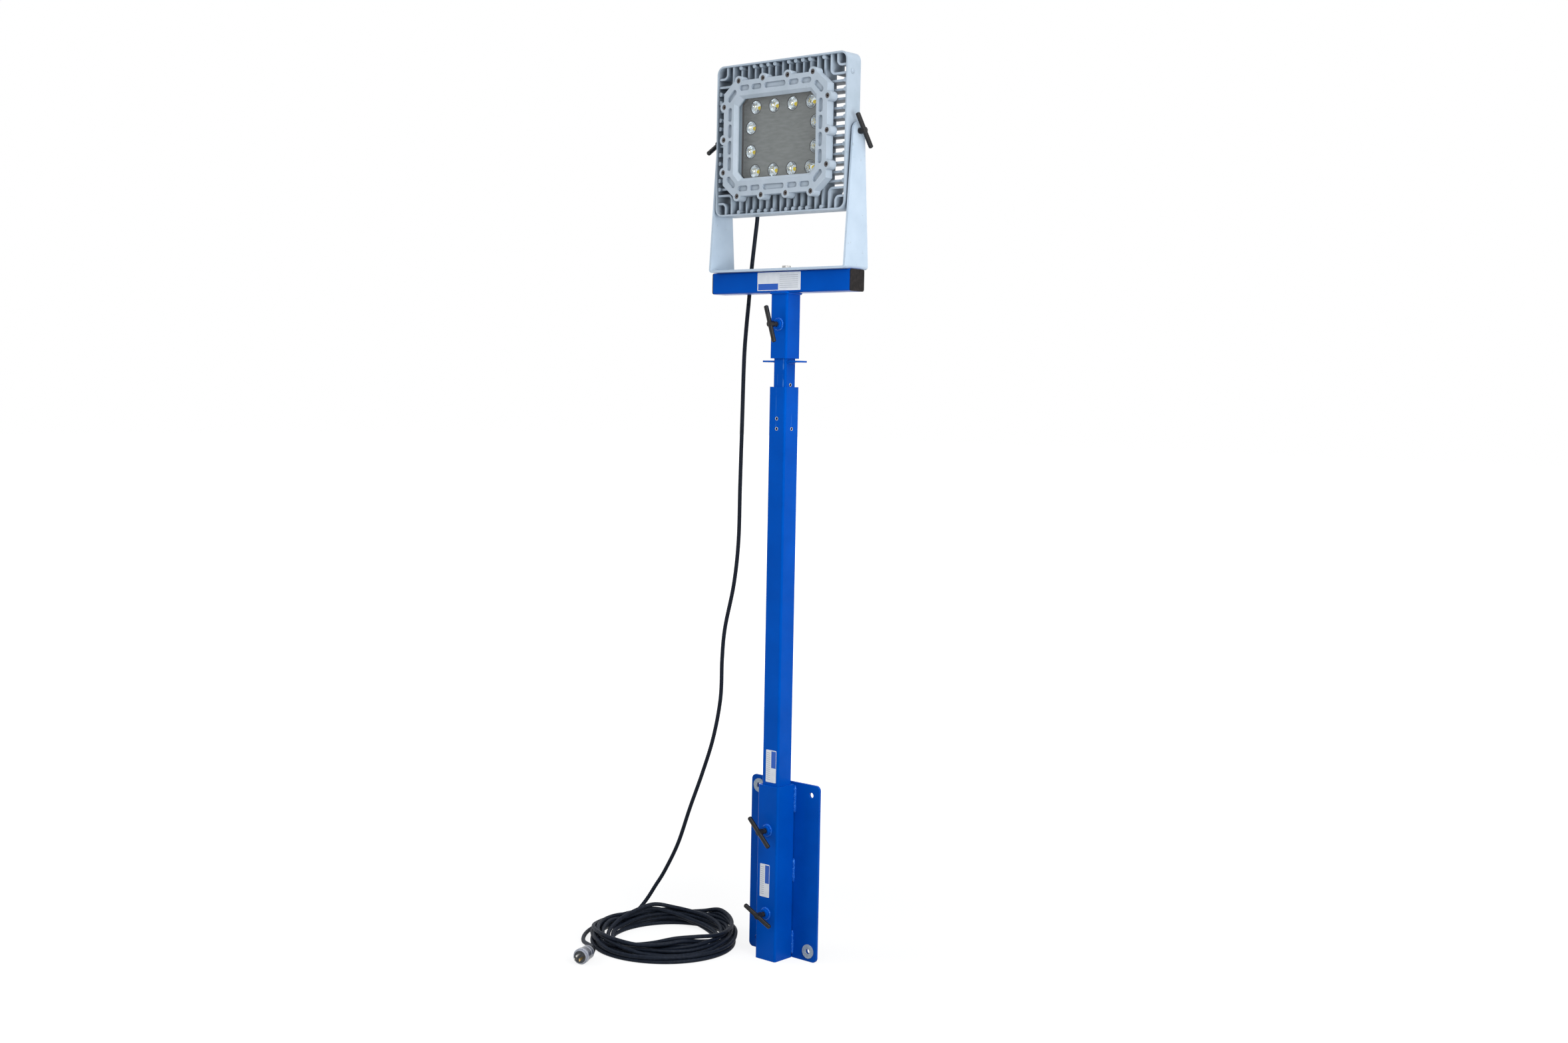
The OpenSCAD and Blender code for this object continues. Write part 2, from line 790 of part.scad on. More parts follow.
module bezel() {
  inner_x = window_x - window_bevel;
  inner_z = window_z - window_bevel;
  color([0.63, 0.69, 0.74]) at_pivot() difference() {
    upright(-flange_front, bezel_t) bezel_outline();
    upright(-flange_front + 1, bezel_t + 2) window_plan(inner_x, inner_z);
    hull() {
      upright(-bezel_front + eps, 1) window_plan(window_x, window_z);
      upright(-bezel_front + window_bevel + 1, eps) window_plan(inner_x, inner_z);
    }
    upright(-flange_front + 1, glass_t + glass_fit + 1) window_plan(window_x, window_z);
    upright(-bezel_front + pocket_deep, pocket_deep + 1) bezel_pockets();
    upright(-bezel_front + bolt_sink, bolt_sink + 1)
      for (p = bezel_bolts) translate(p) circle(d = bolt_head_d + 2*bolt_head_fit);
  }
}

module bezel_screws() {
  color([0.35, 0.33, 0.32]) at_pivot() difference() {
    upright(-bezel_front + bolt_sink, bolt_sink - bolt_below)
      for (p = bezel_bolts) translate(p) circle(d = bolt_head_d);
    upright(-bezel_front + bolt_below + hex_deep, hex_deep + 1)
      for (p = bezel_bolts) translate(p) circle(d = hex_w/cos(30), $fn = 6);
  }
}

module window_glass() {
  color([0.8, 0.88, 0.9, 0.35]) at_pivot() upright(-flange_front, glass_t)
    window_plan(window_x - glass_fit, window_z - glass_fit);
}

module led_panel() {
  color([0.5, 0.51, 0.52]) at_pivot() upright(-panel_front + panel_t, panel_t) difference() {
    window_plan(window_x - panel_fit, panel_z - panel_fit);
    for (p = leds) translate(p) circle(r = cup_r);
  }
}

// Cup: a bowl whose wall bends outwards from the LED to its mouth in the panel
module reflector_cups() {
  deep = panel_front - cavity_floor;
  mouth = cup_r - panel_fit;
  steps = 5;
  floor_t = 0.6;
  function bowl(t) = cup_foot_r + (mouth - cup_foot_r)*sqrt(t);
  outside = [for (i = [0:steps]) [bowl(i/steps), deep*i/steps]];
  inside = [for (i = [steps:-1:1]) [bowl(i/steps) - cup_skin, deep*i/steps]];
  foot = chip_r + panel_fit;
  color("silver") at_pivot() for (p = leds)
    translate([p[0], -cavity_floor, p[1]]) rotate([90, 0, 0]) rotate_extrude()
      polygon(concat([[foot, 0]], outside, inside, [[foot, floor_t]]));
}

module led_chips() {
  color([0.9, 0.78, 0.15]) at_pivot() upright(-cavity_floor, chip_t)
    for (p = leds) translate(p) circle(r = chip_r);
}

// Driver case on the lamp's back, with a bolted lid
module driver_case() {
  lid_w = driver_w + 2*lid_lip;
  lid_h = driver_h + 2*lid_lip;
  back = rim_back + driver_depth - lid_screw_h;
  color([0.62, 0.68, 0.74]) at_pivot() {
    upright(back - lid_t, back - lid_t - rim_back) round_rect(driver_w, driver_h, driver_r);
    upright(back, lid_t) round_rect(lid_w, lid_h, driver_r + lid_lip);
    upright(back + lid_screw_h, lid_screw_h)
      for (x = [-1, 0, 1], z = [-1, 1])
        translate([x*(lid_w/2 - driver_r), z*(lid_h/2 - driver_r)]) circle(d = lid_screw_d);
  }
}

// Gland: a hexagon screwed into the driver case's side, with a domed nut round the lead
module cable_gland() {
  hex_len = gland_len - gland_dome;
  mouth_r = cord_d/2 + 2.5;
  dome_r = gland_w/2;
  color([0.1, 0.1, 0.11]) translate([-driver_w/2, gland_y, gland_z]) rotate([0, -90, 0]) {
    cylinder(d = gland_w/cos(30), h = hex_len, $fn = 6);
    translate([0, 0, hex_len]) rotate_extrude() polygon([
      [0, 0], [dome_r, 0], [dome_r - 1, gland_dome/2], [mouth_r + 1, gland_dome - 1],
      [mouth_r, gland_dome], [0, gland_dome]
    ]);
  }
}

// Clamp screws and their T-handles
module socket_upper_screw() { on_front(socket_front_y, upper_screw_z) clamp_screw(bore_foot, handle_off); }
module socket_upper_grip() { on_front(socket_front_y, upper_screw_z) grip(handle_off, upper_turn); }
module socket_lower_screw() { on_front(socket_front_y, lower_screw_z) clamp_screw(bore_foot, handle_off); }
module socket_lower_grip() { on_front(socket_front_y, lower_screw_z) grip(handle_off, lower_turn); }
module neck_screw() { on_front(front_y, neck_screw_z) clamp_screw(bore_foot, handle_off); }
module neck_grip() { on_front(front_y, neck_screw_z) grip(handle_off, neck_turn); }
module yoke_left_screw() { on_arm(-1) clamp_screw(arm_foot, yoke_handle_off); }
module yoke_left_grip() { on_arm(-1) grip(yoke_handle_off, yoke_left_turn); }
module yoke_right_screw() { on_arm(1) clamp_screw(arm_foot, yoke_handle_off); }
module yoke_right_grip() { on_arm(1) grip(yoke_handle_off, yoke_right_turn); }

// Cord, coil and plug
function unit(v) = v/norm(v);
function tangent(p, i) = unit(p[min(i + 1, len(p) - 1)] - p[max(i - 1, 0)]);
function spline(p, i, t) = let (
    a = p[max(i - 1, 0)], b = p[i], c = p[i + 1], d = p[min(i + 2, len(p) - 1)]
  ) 0.5*(2*b + (c - a)*t + (2*a - 5*b + 4*c - d)*t*t + (3*b - a - 3*c + d)*t*t*t);
function smooth(p, n) = concat(
  [for (i = [0:len(p) - 2], k = [0:n - 1]) spline(p, i, k/n)], [p[len(p) - 1]]);

module tube(route, d) {
  sides = 8;
  n = len(route);
  ring = [for (i = [0:n - 1]) let (
      t = tangent(route, i), u = unit(cross(t, [0, 1, 0])), w = cross(t, u)
    ) for (k = [0:sides - 1]) route[i] + d/2*(cos(360*k/sides)*u + sin(360*k/sides)*w)];
  wall = [for (i = [0:n - 2], k = [0:sides - 1]) let (a = i*sides + k, b = i*sides + (k + 1)%sides)
    [a, b, b + sides, a + sides]];
  first = [for (k = [sides - 1:-1:0]) k];
  last = [for (k = [0:sides - 1]) (n - 1)*sides + k];
  polyhedron(ring, concat(wall, [first, last]), convexity = 6);
}

module cord_lead() {
  color(jacket) tube(smooth(lead_route, 2), cord_d);
}

module cord_drop() {
  color(jacket) tube(smooth(drop_route, 3), cord_d);
}

module cord_coil() {
  color(jacket) translate([coil_c[0], coil_c[1], ground_z + coil_h/2]) rotate_extrude()
    translate([(coil_in + coil_out)/2, 0]) round_rect(coil_out - coil_in, coil_h, coil_edge_r);
}

module cord_tail() {
  color(jacket) tube(smooth(tail_route, 3), cord_d);
}

module at_plug() {
  translate([plug_c[0], plug_c[1], ground_z + plug_d/2]) rotate(plug_turn) rotate([0, 90, 0]) children();
}

// Plug: a turned body with a front collar and a waist, and a sleeve that narrows to the cord
module plug_body() {
  collar = 5;
  waist = 2;
  mouth_r = cord_d/2 + 3;
  r = plug_d/2;
  color([0.6, 0.63, 0.65]) at_plug() rotate_extrude() polygon([
    [0, -plug_sleeve], [mouth_r, -plug_sleeve], [plug_sleeve_d/2, -collar], [plug_sleeve_d/2, 0],
    [r - waist, 0], [r - waist, plug_len - collar], [r, plug_len - collar], [r, plug_len], [0, plug_len]
  ]);
}

module plug_face() {
  color(black) at_plug() translate([0, 0, plug_len]) cylinder(d = plug_d - plug_face_t, h = plug_face_t);
}

module plug_blades() {
  color("gold") at_plug() rotate(180) translate([0, 0, plug_len + plug_face_t]) {
    for (s = [-1, 1]) translate([-2, s*blade_pitch/2, blade[2]/2]) cube(blade, center = true);
    translate([earth_off, 0, 0]) cylinder(d = earth_d, h = earth_len);
  }
}

mount_plate();
plate_washers();
socket_tube();
socket_floor();
socket_bosses();
mast_tube();
extension_tube();
stop_wings();
neck_tube();
neck_boss();
crossbar();
crossbar_cap_left();
crossbar_cap_right();
yoke();
yoke_bolt();
lamp_housing();
bezel();
bezel_screws();
window_glass();
led_panel();
reflector_cups();
led_chips();
driver_case();
cable_gland();
socket_upper_screw();
socket_upper_grip();
socket_lower_screw();
socket_lower_grip();
neck_screw();
neck_grip();
yoke_left_screw();
yoke_left_grip();
yoke_right_screw();
yoke_right_grip();
cord_lead();
cord_drop();
cord_coil();
cord_tail();
plug_body();
plug_face();
plug_blades();
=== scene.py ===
# %% [markdown]
# # Pole floodlight on a telescoping mast
# A cast LED lamp tilts in a pale yoke on top of a blue square-tube mast, which is clamped in a socket
# that is welded to a bolt plate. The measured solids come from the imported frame. This lesson adds what
# the solids lack: the wound lead, weld beads, blank stickers, small screws and every finish.

# %% Load the frame
import math

import bmesh
import bpy
import numpy as np
from mathutils import Matrix, Vector


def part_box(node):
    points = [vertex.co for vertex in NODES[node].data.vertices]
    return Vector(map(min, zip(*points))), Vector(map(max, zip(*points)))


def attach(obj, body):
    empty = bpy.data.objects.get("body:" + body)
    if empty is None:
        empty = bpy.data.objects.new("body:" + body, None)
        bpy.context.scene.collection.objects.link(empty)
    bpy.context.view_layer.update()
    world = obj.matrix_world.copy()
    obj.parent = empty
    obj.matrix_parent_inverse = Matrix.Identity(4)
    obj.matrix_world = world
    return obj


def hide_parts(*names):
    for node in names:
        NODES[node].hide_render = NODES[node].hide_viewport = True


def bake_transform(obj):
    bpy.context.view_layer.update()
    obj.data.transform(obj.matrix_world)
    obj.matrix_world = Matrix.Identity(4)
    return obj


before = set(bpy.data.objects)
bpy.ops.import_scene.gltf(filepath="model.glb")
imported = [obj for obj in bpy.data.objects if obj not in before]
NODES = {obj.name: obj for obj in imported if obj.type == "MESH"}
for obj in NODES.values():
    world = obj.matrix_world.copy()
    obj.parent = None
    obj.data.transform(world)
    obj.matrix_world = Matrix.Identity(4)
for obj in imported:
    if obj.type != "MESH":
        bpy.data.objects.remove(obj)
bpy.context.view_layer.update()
MM = 0.001

# %% [markdown]
# ## Camera
# The photograph looks at the light from its right front, a little above the middle and slightly down.
# A camera can be set by eye, but here its place, turn and focal length were fitted to corners of the
# plate, tubes and lamp, so the render can be laid over the photograph without any shift of the lens.

# %% Camera
PHOTO_WIDTH_PX = 2357
FOCAL_PX = 2765
SENSOR_MM = 36.0
CAMERA_PLACE = Vector((2.855, -3.350, 1.151))
CAMERA_TURN = math.radians(40.69)
CAMERA_DOWN = math.radians(4.02)
CAMERA_ROLL = math.radians(1.10)

camera = bpy.data.objects.new("camera", bpy.data.cameras.new("camera"))
bpy.context.collection.objects.link(camera)
camera.data.sensor_width = SENSOR_MM
camera.data.lens = SENSOR_MM * FOCAL_PX / PHOTO_WIDTH_PX
camera.matrix_world = (
    Matrix.Translation(CAMERA_PLACE)
    @ Matrix.Rotation(CAMERA_TURN, 4, "Z")
    @ Matrix.Rotation(math.pi / 2 - CAMERA_DOWN, 4, "X")
    @ Matrix.Rotation(CAMERA_ROLL, 4, "Z")
)
bpy.context.scene.camera = camera
bpy.context.scene.view_settings.view_transform = "Standard"
print("lens mm:", round(camera.data.lens, 2))

# %% [markdown]
# ## A round cord from a few points
# A cord is a circle that is carried along a smooth line. The line is a Catmull-Rom spline through listed
# points, cut again into even steps. Each ring is turned from the one before it by the smallest
# angle, so the tube never twists. Weld beads later use the same tube with a changing radius.

# %% Smooth lines
def spline_points(points, steps):
    """Catmull-Rom points through the given points, with steps between each pair."""
    p = [np.array(q, float) for q in points]
    p = [2 * p[0] - p[1]] + p + [2 * p[-1] - p[-2]]
    line = []
    for i in range(1, len(p) - 2):
        a, b, c, d = p[i - 1:i + 3]
        for t in np.linspace(0, 1, steps, endpoint=False):
            line.append(
                0.5 * (2 * b + (c - a) * t + (2 * a - 5 * b + 4 * c - d) * t**2
                       + (3 * b - a - 3 * c + d) * t**3)
            )
    line.append(p[-2])
    return np.array(line)


def even_steps(line, step):
    """The same line cut into equal lengths of about one step."""
    run = np.concatenate([[0], np.cumsum(np.linalg.norm(np.diff(line, axis=0), axis=1))])
    count = max(int(round(run[-1] / step)), 2)
    at = np.linspace(0, run[-1], count + 1)
    return np.stack([np.interp(at, run, line[:, k]) for k in range(line.shape[1])], axis=1)


def line_length(line):
    return float(np.linalg.norm(np.diff(line, axis=0), axis=1).sum())


print("points of a line through two points:", len(spline_points([(0, 0), (1, 0)], 8)))

# %% Tubes round a line
def add_tube(mesh, line, radius, sides):
    """Adds a closed tube round a line; radius is one number or one number for each ring."""
    line = np.asarray(line, float)
    radii = np.broadcast_to(radius, len(line))
    ahead = np.gradient(line, axis=0)
    ahead /= np.linalg.norm(ahead, axis=1)[:, None]
    side = Vector(ahead[0]).orthogonal().normalized()
    rings = []
    for place, forward, r in zip(line, ahead, radii):
        forward = Vector(forward)
        side = (side - forward * side.dot(forward)).normalized()
        across = forward.cross(side)
        ring = []
        for k in range(sides):
            turn = 2 * math.pi * k / sides
            spoke = math.cos(turn) * side + math.sin(turn) * across
            ring.append(mesh.verts.new(Vector(place) + float(r) * spoke))
        rings.append(ring)
    for one, two in zip(rings, rings[1:]):
        for k in range(sides):
            mesh.faces.new((one[k], one[(k + 1) % sides], two[(k + 1) % sides], two[k]))
    mesh.faces.new(rings[0][::-1])
    mesh.faces.new(rings[-1])


def make_piece(name, mesh, smooth=True):
    """Turns a finished bmesh into an object; only faces of four corners or fewer are shaded smooth."""
    for face in mesh.faces:
        face.smooth = smooth and len(face.verts) <= 4
    data = bpy.data.meshes.new(name)
    mesh.to_mesh(data)
    mesh.free()
    piece = bpy.data.objects.new(name, data)
    bpy.context.collection.objects.link(piece)
    return piece


def cord_piece(name, line):
    mesh = bmesh.new()
    add_tube(mesh, line, CORD_D / 2, CORD_SIDES)
    return make_piece(name, mesh)


CORD_D = 10 * MM
CORD_SIDES = 14
CORD_STEP = 6 * MM
print("cord mm:", CORD_D / MM)

# %% [markdown]
# ## The lead from the lamp to the crossbar
# The lead leaves the gland on the side of the driver case, bends down and hangs behind the yoke and the
# crossbar. On the real light its top goes with the lamp when it tilts and its foot stays with the mast's
# head; here it is one mesh, from the gland to a foot below the crossbar.

# %% Lead
GLAND_LOW, GLAND_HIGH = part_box("cable_gland")
GLAND = Vector((GLAND_LOW.x, (GLAND_LOW.y + GLAND_HIGH.y) / 2, (GLAND_LOW.z + GLAND_HIGH.z) / 2))
CROSSBAR_LOW, CROSSBAR_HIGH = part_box("crossbar")
LEAD_FOOT = Vector((-162 * MM, GLAND.y, CROSSBAR_LOW.z - 20 * MM))
LEAD_STEP = 2 * MM

lead_bend = [(0, 0), (-12, 0), (-24, -2), (-41, -12), (-51, -29), (-53, -46)]
lead_route = [(GLAND.x + x * MM, GLAND.y, GLAND.z + z * MM) for x, z in lead_bend]
lead_hang = [(-138, 1577), (-145, 1520), (-154, 1450)]
lead_route += [(x * MM, GLAND.y, z * MM) for x, z in lead_hang]
lead_route.append(tuple(LEAD_FOOT))
lead_line = even_steps(spline_points(lead_route, 20), LEAD_STEP)
lead = cord_piece("lead_upper", lead_line)
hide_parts("cord_lead")
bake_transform(lead)
print("upper lead m:", round(line_length(lead_line), 3))

# %% [markdown]
# ## The hanging lead and its coil
# Below the crossbar the lead hangs beside the mast and lies in a loose coil on the ground. A coil that a
# hand has dropped is never a neat spiral: each turn has its own width, and it lies on the turns below
# it. So the plan of the turns is drawn first, and then every turn is laid on what is already there and
# bridges small gaps, as a stiff cord does. The last turn slips off the left side and runs to the plug.

# %% Plan of the coil
COIL_CENTRE = np.array([-282, -129]) * MM
COIL_TURNS = 12
COIL_FIRST_ANGLE = math.radians(174)
COIL_LAST_ANGLE = math.radians(142 + 360 * COIL_TURNS)
COIL_STEP = math.radians(2.4)
COIL_RADIUS = 158 * MM
# The waves in a turn's width: reach in mm, waves for each radian of winding, and phase
COIL_WAVES = [(22, 0.409, 0.344), (8, 1.17, -0.37), (3, 2.31, 2.0)]


def coil_radius(angle):
    """A turn's distance from the middle, wandering in and out as the coil is wound."""
    wander = sum(reach * math.sin(rate * angle + phase) for reach, rate, phase in COIL_WAVES)
    return COIL_RADIUS + wander * MM


coil_plan = []
for angle in np.arange(COIL_FIRST_ANGLE, COIL_LAST_ANGLE, COIL_STEP):
    out = coil_radius(angle)
    coil_plan.append(COIL_CENTRE + out * np.array([math.cos(angle), math.sin(angle)]))
tail_plan = [
    (-453, -46), (-474, -81), (-484, -125), (-481, -171), (-465, -214), (-442, -249), (-409, -282),
    (-378, -300), (-350, -313), (-331, -325),
]
tail_plan = [np.array(p) * MM for p in tail_plan]
print("coil turns:", COIL_TURNS, "plan points:", len(coil_plan))

# %% Lay the turns on each other
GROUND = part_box("mount_plate")[0].z
BRIDGE_PASSES = 90
TAIL_RISE = 14
TAIL_HEIGHTS_MM = (5, 18.5)


def lay_on_ground(plan, d, per_turn):
    """Heights of a cord that is laid from its first point on, each turn on the turns below it."""
    floor = GROUND + d / 2
    z = np.full(len(plan), floor)
    skip = per_turn // 3
    for first in range(0, len(plan), per_turn):
        last = min(first + per_turn, len(plan))
        low = np.full(last - first, floor)
        for i in range(first, last):
            below = max(i - skip, 0)
            gap = np.linalg.norm(plan[:below] - plan[i], axis=1)
            near = gap < d
            if near.any():
                low[i - first] = max(floor, (z[:below][near] + np.sqrt(d**2 - gap[near]**2)).max())
        rest = low.copy()
        for _ in range(BRIDGE_PASSES):
            padded = np.concatenate([[z[first - 1] if first else rest[0]], rest, [rest[-1]]])
            rest = np.maximum(low, (padded[:-2] + padded[1:-1] + padded[2:]) / 3)
        z[first:last] = rest
    return z


tail_smooth = list(spline_points([coil_plan[-1]] + tail_plan, 12))[1:]
ground_plan = even_steps(np.array(coil_plan + tail_smooth), CORD_STEP)
per_turn = int(2 * math.pi * COIL_RADIUS / CORD_STEP)
ground_z = lay_on_ground(ground_plan, CORD_D, per_turn)
rise = GROUND + np.linspace(*TAIL_HEIGHTS_MM, TAIL_RISE) * MM
ground_z[-TAIL_RISE:] = np.maximum(ground_z[-TAIL_RISE:], rise)
coil_line = np.column_stack([ground_plan, ground_z])
print("coil height mm:", round((ground_z.max() - GROUND + CORD_D / 2) / MM, 1))

# %% Hanging stretch, coil and tail in one cord
PLUG_PLACE = Vector((-306 * MM, -364 * MM, (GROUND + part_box("plug_body")[1].z) / 2))
PLUG_TURN = math.radians(291)
PLUG_AHEAD = Vector((math.cos(PLUG_TURN), math.sin(PLUG_TURN), 0))
PLUG_SLEEVE = 26 * MM
PLUG_LENGTH = 40 * MM
CORD_IN_SLEEVE = 6 * MM
COIL_STRIDE = 9

drop_route = [
    (-168, 10, 1300), (-173, 10, 1226), (-175, 9, 1070), (-178, 9, 917), (-180, 9, 783),
    (-194, 10, 674), (-222, 11, 563), (-231, 12, 484), (-236, 14, 384), (-262, 18, 280),
    (-301, 22, 184), (-346, 25, 85), (-387, 26, -14), (-428, 21, -92), (-449, 8, -134),
    (-463, -10, -170), (-472, -36, -197), (-475, -70, -209),
]
whole_route = [tuple(LEAD_FOOT)] + [tuple(Vector(p) * MM) for p in drop_route]
whole_route += [tuple(p) for p in coil_line[2:-4:COIL_STRIDE]] + [tuple(coil_line[-1])]
whole_route.append(tuple(PLUG_PLACE - PLUG_AHEAD * (PLUG_SLEEVE - CORD_IN_SLEEVE)))
hanging_line = even_steps(spline_points(whole_route, 8), CORD_STEP)
hanging_line[:, 2] = np.maximum(hanging_line[:, 2], GROUND + CORD_D / 2)
hanging = cord_piece("lead_hanging_and_coil", hanging_line)
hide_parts("cord_drop", "cord_coil", "cord_tail")
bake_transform(hanging)
print("hanging lead m:", round(line_length(hanging_line), 2))

# %% [markdown]
# ## Softened edges
# No real edge is perfectly sharp: a casting has round corners from its mould, and powder coat flows
# round the edge of a tube or strap. A narrow bevel catches the light there. It is added as a modifier,
# so the measured mesh itself stays as it is. The solids come with split corners, so they are welded
# first, and flat seams are cleared so that the bevel runs only along true edges.

# %% Softened edges
JOIN_GAP = 0.01 * MM
FLAT_ANGLE = math.radians(1)
EDGE_ANGLE = math.radians(38)


def soften(node, width):
    """Rounds the sharp edges of a solid with modifiers only."""
    piece = NODES[node]
    join = piece.modifiers.new("join_corners", "WELD")
    join.merge_threshold = JOIN_GAP
    flat = piece.modifiers.new("clear_flats", "DECIMATE")
    flat.decimate_type = "DISSOLVE"
    flat.angle_limit = FLAT_ANGLE
    edge = piece.modifiers.new("round_edges", "BEVEL")
    edge.width = width
    edge.segments = 2
    edge.limit_method = "ANGLE"
    edge.angle_limit = EDGE_ANGLE
    shade = piece.modifiers.new("even_shade", "WEIGHTED_NORMAL")
    shade.keep_sharp = True


EDGE_WIDTHS = {
    "lamp_housing": 0.9, "bezel": 1.1, "driver_case": 1.5, "yoke": 1.0, "mount_plate": 0.8,
    "socket_tube": 0.7, "mast_tube": 1.1, "extension_tube": 0.5, "neck_tube": 1.1, "crossbar": 0.6,
    "stop_wings": 0.6, "socket_floor": 0.6, "crossbar_cap_left": 1.2, "crossbar_cap_right": 1.2,
    "plate_washers": 0.5, "yoke_bolt": 0.5, "bezel_screws": 0.3, "plug_body": 0.8, "plug_face": 0.6,
    "plug_blades": 0.25, "cable_gland": 0.6, "socket_bosses": 1.2, "neck_boss": 1.2,
}
for node, width in EDGE_WIDTHS.items():
    soften(node, width * MM)
print("softened:", len(EDGE_WIDTHS))

# %% [markdown]
# ## Weld beads
# The socket is stitched to the plate with short fillet welds, each boss is welded round its foot, the
# neck is welded to the crossbar and the stop wings to the extension tube. A bead is a row of small
# frozen ripples. Here it is a tube in the corner between two faces, whose radius swells and shrinks
# with the ripples and fades at the ends, with a little seeded unevenness. The beads on the neck and the
# wings were ground smooth before the paint, so their ripples are shallow.

# %% Bead helper
RIPPLE = 4.2 * MM
BEAD_STEP = 0.8 * MM
BEAD_SIDES = 10
X_AXIS, Y_AXIS, Z_AXIS = (1, 0, 0), (0, 1, 0), (0, 0, 1)
unevenness = np.random.default_rng(7)


def add_bead(mesh, points, radius, closed=False, relief=0.1):
    """Adds one weld bead along a line of points; relief is the ripples' share of its radius."""
    line = even_steps(np.array(points, float), BEAD_STEP)
    run = np.linspace(0, line_length(line), len(line))
    swell = 1 - relief + relief * np.abs(np.cos(math.pi * run / RIPPLE))
    count = int(run[-1] / RIPPLE) + 2
    lumps = 1 + relief * np.interp(run, np.arange(count) * RIPPLE, unevenness.uniform(-0.7, 0.7, count))
    fade = np.ones(len(line))
    if not closed:
        fade = np.sqrt(np.clip(np.minimum(run, run[-1] - run) / (1.5 * radius), 0.08, 1))
    add_tube(mesh, line, radius * swell * lumps * fade, BEAD_SIDES)


def circle_line(centre, radius, right, steps=60):
    """Points round an upright circle, from its right side up and back to the first one."""
    turns = np.linspace(0, 2 * math.pi, steps + 1)
    return [np.array(centre) + radius * (math.cos(t) * np.array(right) + math.sin(t) * np.array(Z_AXIS))
            for t in turns]


def fit_piece(name, mesh, body):
    """Makes a piece that rides on a body."""
    piece = make_piece(name, mesh)
    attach(piece, body)
    return piece


print("ripple mm:", RIPPLE / MM)

# %% Socket stitches and boss beads
SOCKET_LOW, SOCKET_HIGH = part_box("socket_tube")
PLATE_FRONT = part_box("mount_plate")[0].y
MAST_Y = (SOCKET_LOW.y + SOCKET_HIGH.y) / 2
STITCHES = [(140 * MM, 207 * MM), (-30 * MM, 28 * MM), (-207 * MM, -148 * MM)]
STITCH_R = 4.4 * MM
BOSS_BEAD_R = 3.0 * MM
BOSS_RING_R = 13 * MM


def middle_z(node):
    """Height of a solid's middle."""
    low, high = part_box(node)
    return (low.z + high.z) / 2


def add_boss_bead(mesh, face_y, screw):
    """Adds the bead round the foot of a clamp screw's boss."""
    ring = circle_line((0, face_y, middle_z(screw)), BOSS_RING_R, X_AXIS)
    add_bead(mesh, ring, BOSS_BEAD_R, closed=True)


mesh = bmesh.new()
for x in (SOCKET_LOW.x, SOCKET_HIGH.x):
    for low, high in STITCHES:
        add_bead(mesh, [(x, PLATE_FRONT, low), (x, PLATE_FRONT, high)], STITCH_R)
for screw in ("socket_upper_screw", "socket_lower_screw"):
    add_boss_bead(mesh, SOCKET_LOW.y, screw)
base_welds = fit_piece("base_welds", mesh, "base")
print("base beads:", 2 * len(STITCHES) + 2)

# %% Beads on the mast's head
NECK_LOW, NECK_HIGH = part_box("neck_tube")
EXTENSION_LOW, EXTENSION_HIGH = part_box("extension_tube")
WINGS_LOW, WINGS_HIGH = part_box("stop_wings")
NECK_CORNER_R = 5 * MM
NECK_BEAD_OUT = 1 * MM
WING_INSET = 1 * MM
NECK_BEAD_R = 3.6 * MM
WING_BEAD_R = 4.6 * MM
GROUND_SMOOTH = 0.025


def square_line(half, corner, z):
    """Points round a square with round corners about the mast's axis, at one height."""
    line = []
    for k in range(4):
        turn = math.pi / 2 * k
        inner = half - corner
        cx = inner * (1 if k in (0, 3) else -1)
        cy = inner * (1 if k in (0, 1) else -1)
        for t in np.linspace(turn, turn + math.pi / 2, 8):
            line.append((cx + corner * math.cos(t), MAST_Y + cy + corner * math.sin(t), z))
    return line + line[:1]


neck_run = square_line((NECK_HIGH.x - NECK_LOW.x) / 2 + NECK_BEAD_OUT, NECK_CORNER_R, NECK_HIGH.z)
mesh = bmesh.new()
add_bead(mesh, neck_run, NECK_BEAD_R, closed=True, relief=GROUND_SMOOTH)
for x in (EXTENSION_LOW.x, EXTENSION_HIGH.x):
    wing_run = [(x, y, WINGS_LOW.z) for y in (WINGS_LOW.y + WING_INSET, WINGS_HIGH.y - WING_INSET)]
    add_bead(mesh, wing_run, WING_BEAD_R, relief=GROUND_SMOOTH)
head_fillets = fit_piece("head_fillets", mesh, "head")

mesh = bmesh.new()
add_boss_bead(mesh, NECK_LOW.y, "neck_screw")
neck_boss_weld = fit_piece("neck_boss_weld", mesh, "head")
print("head beads: 4")

# %% [markdown]
# ## Blank stickers
# The crossbar, the mast's foot and the socket each carry a white vinyl sticker. They are left without
# words: a plain blue block and a few grey rules are all the print. A sticker could be painted on its
# tube, but a thin sheet with round corners has an edge that catches the light.

# %% Stickers
STICKER_T = 0.3 * MM
STICKER_CORNER_R = 2 * MM


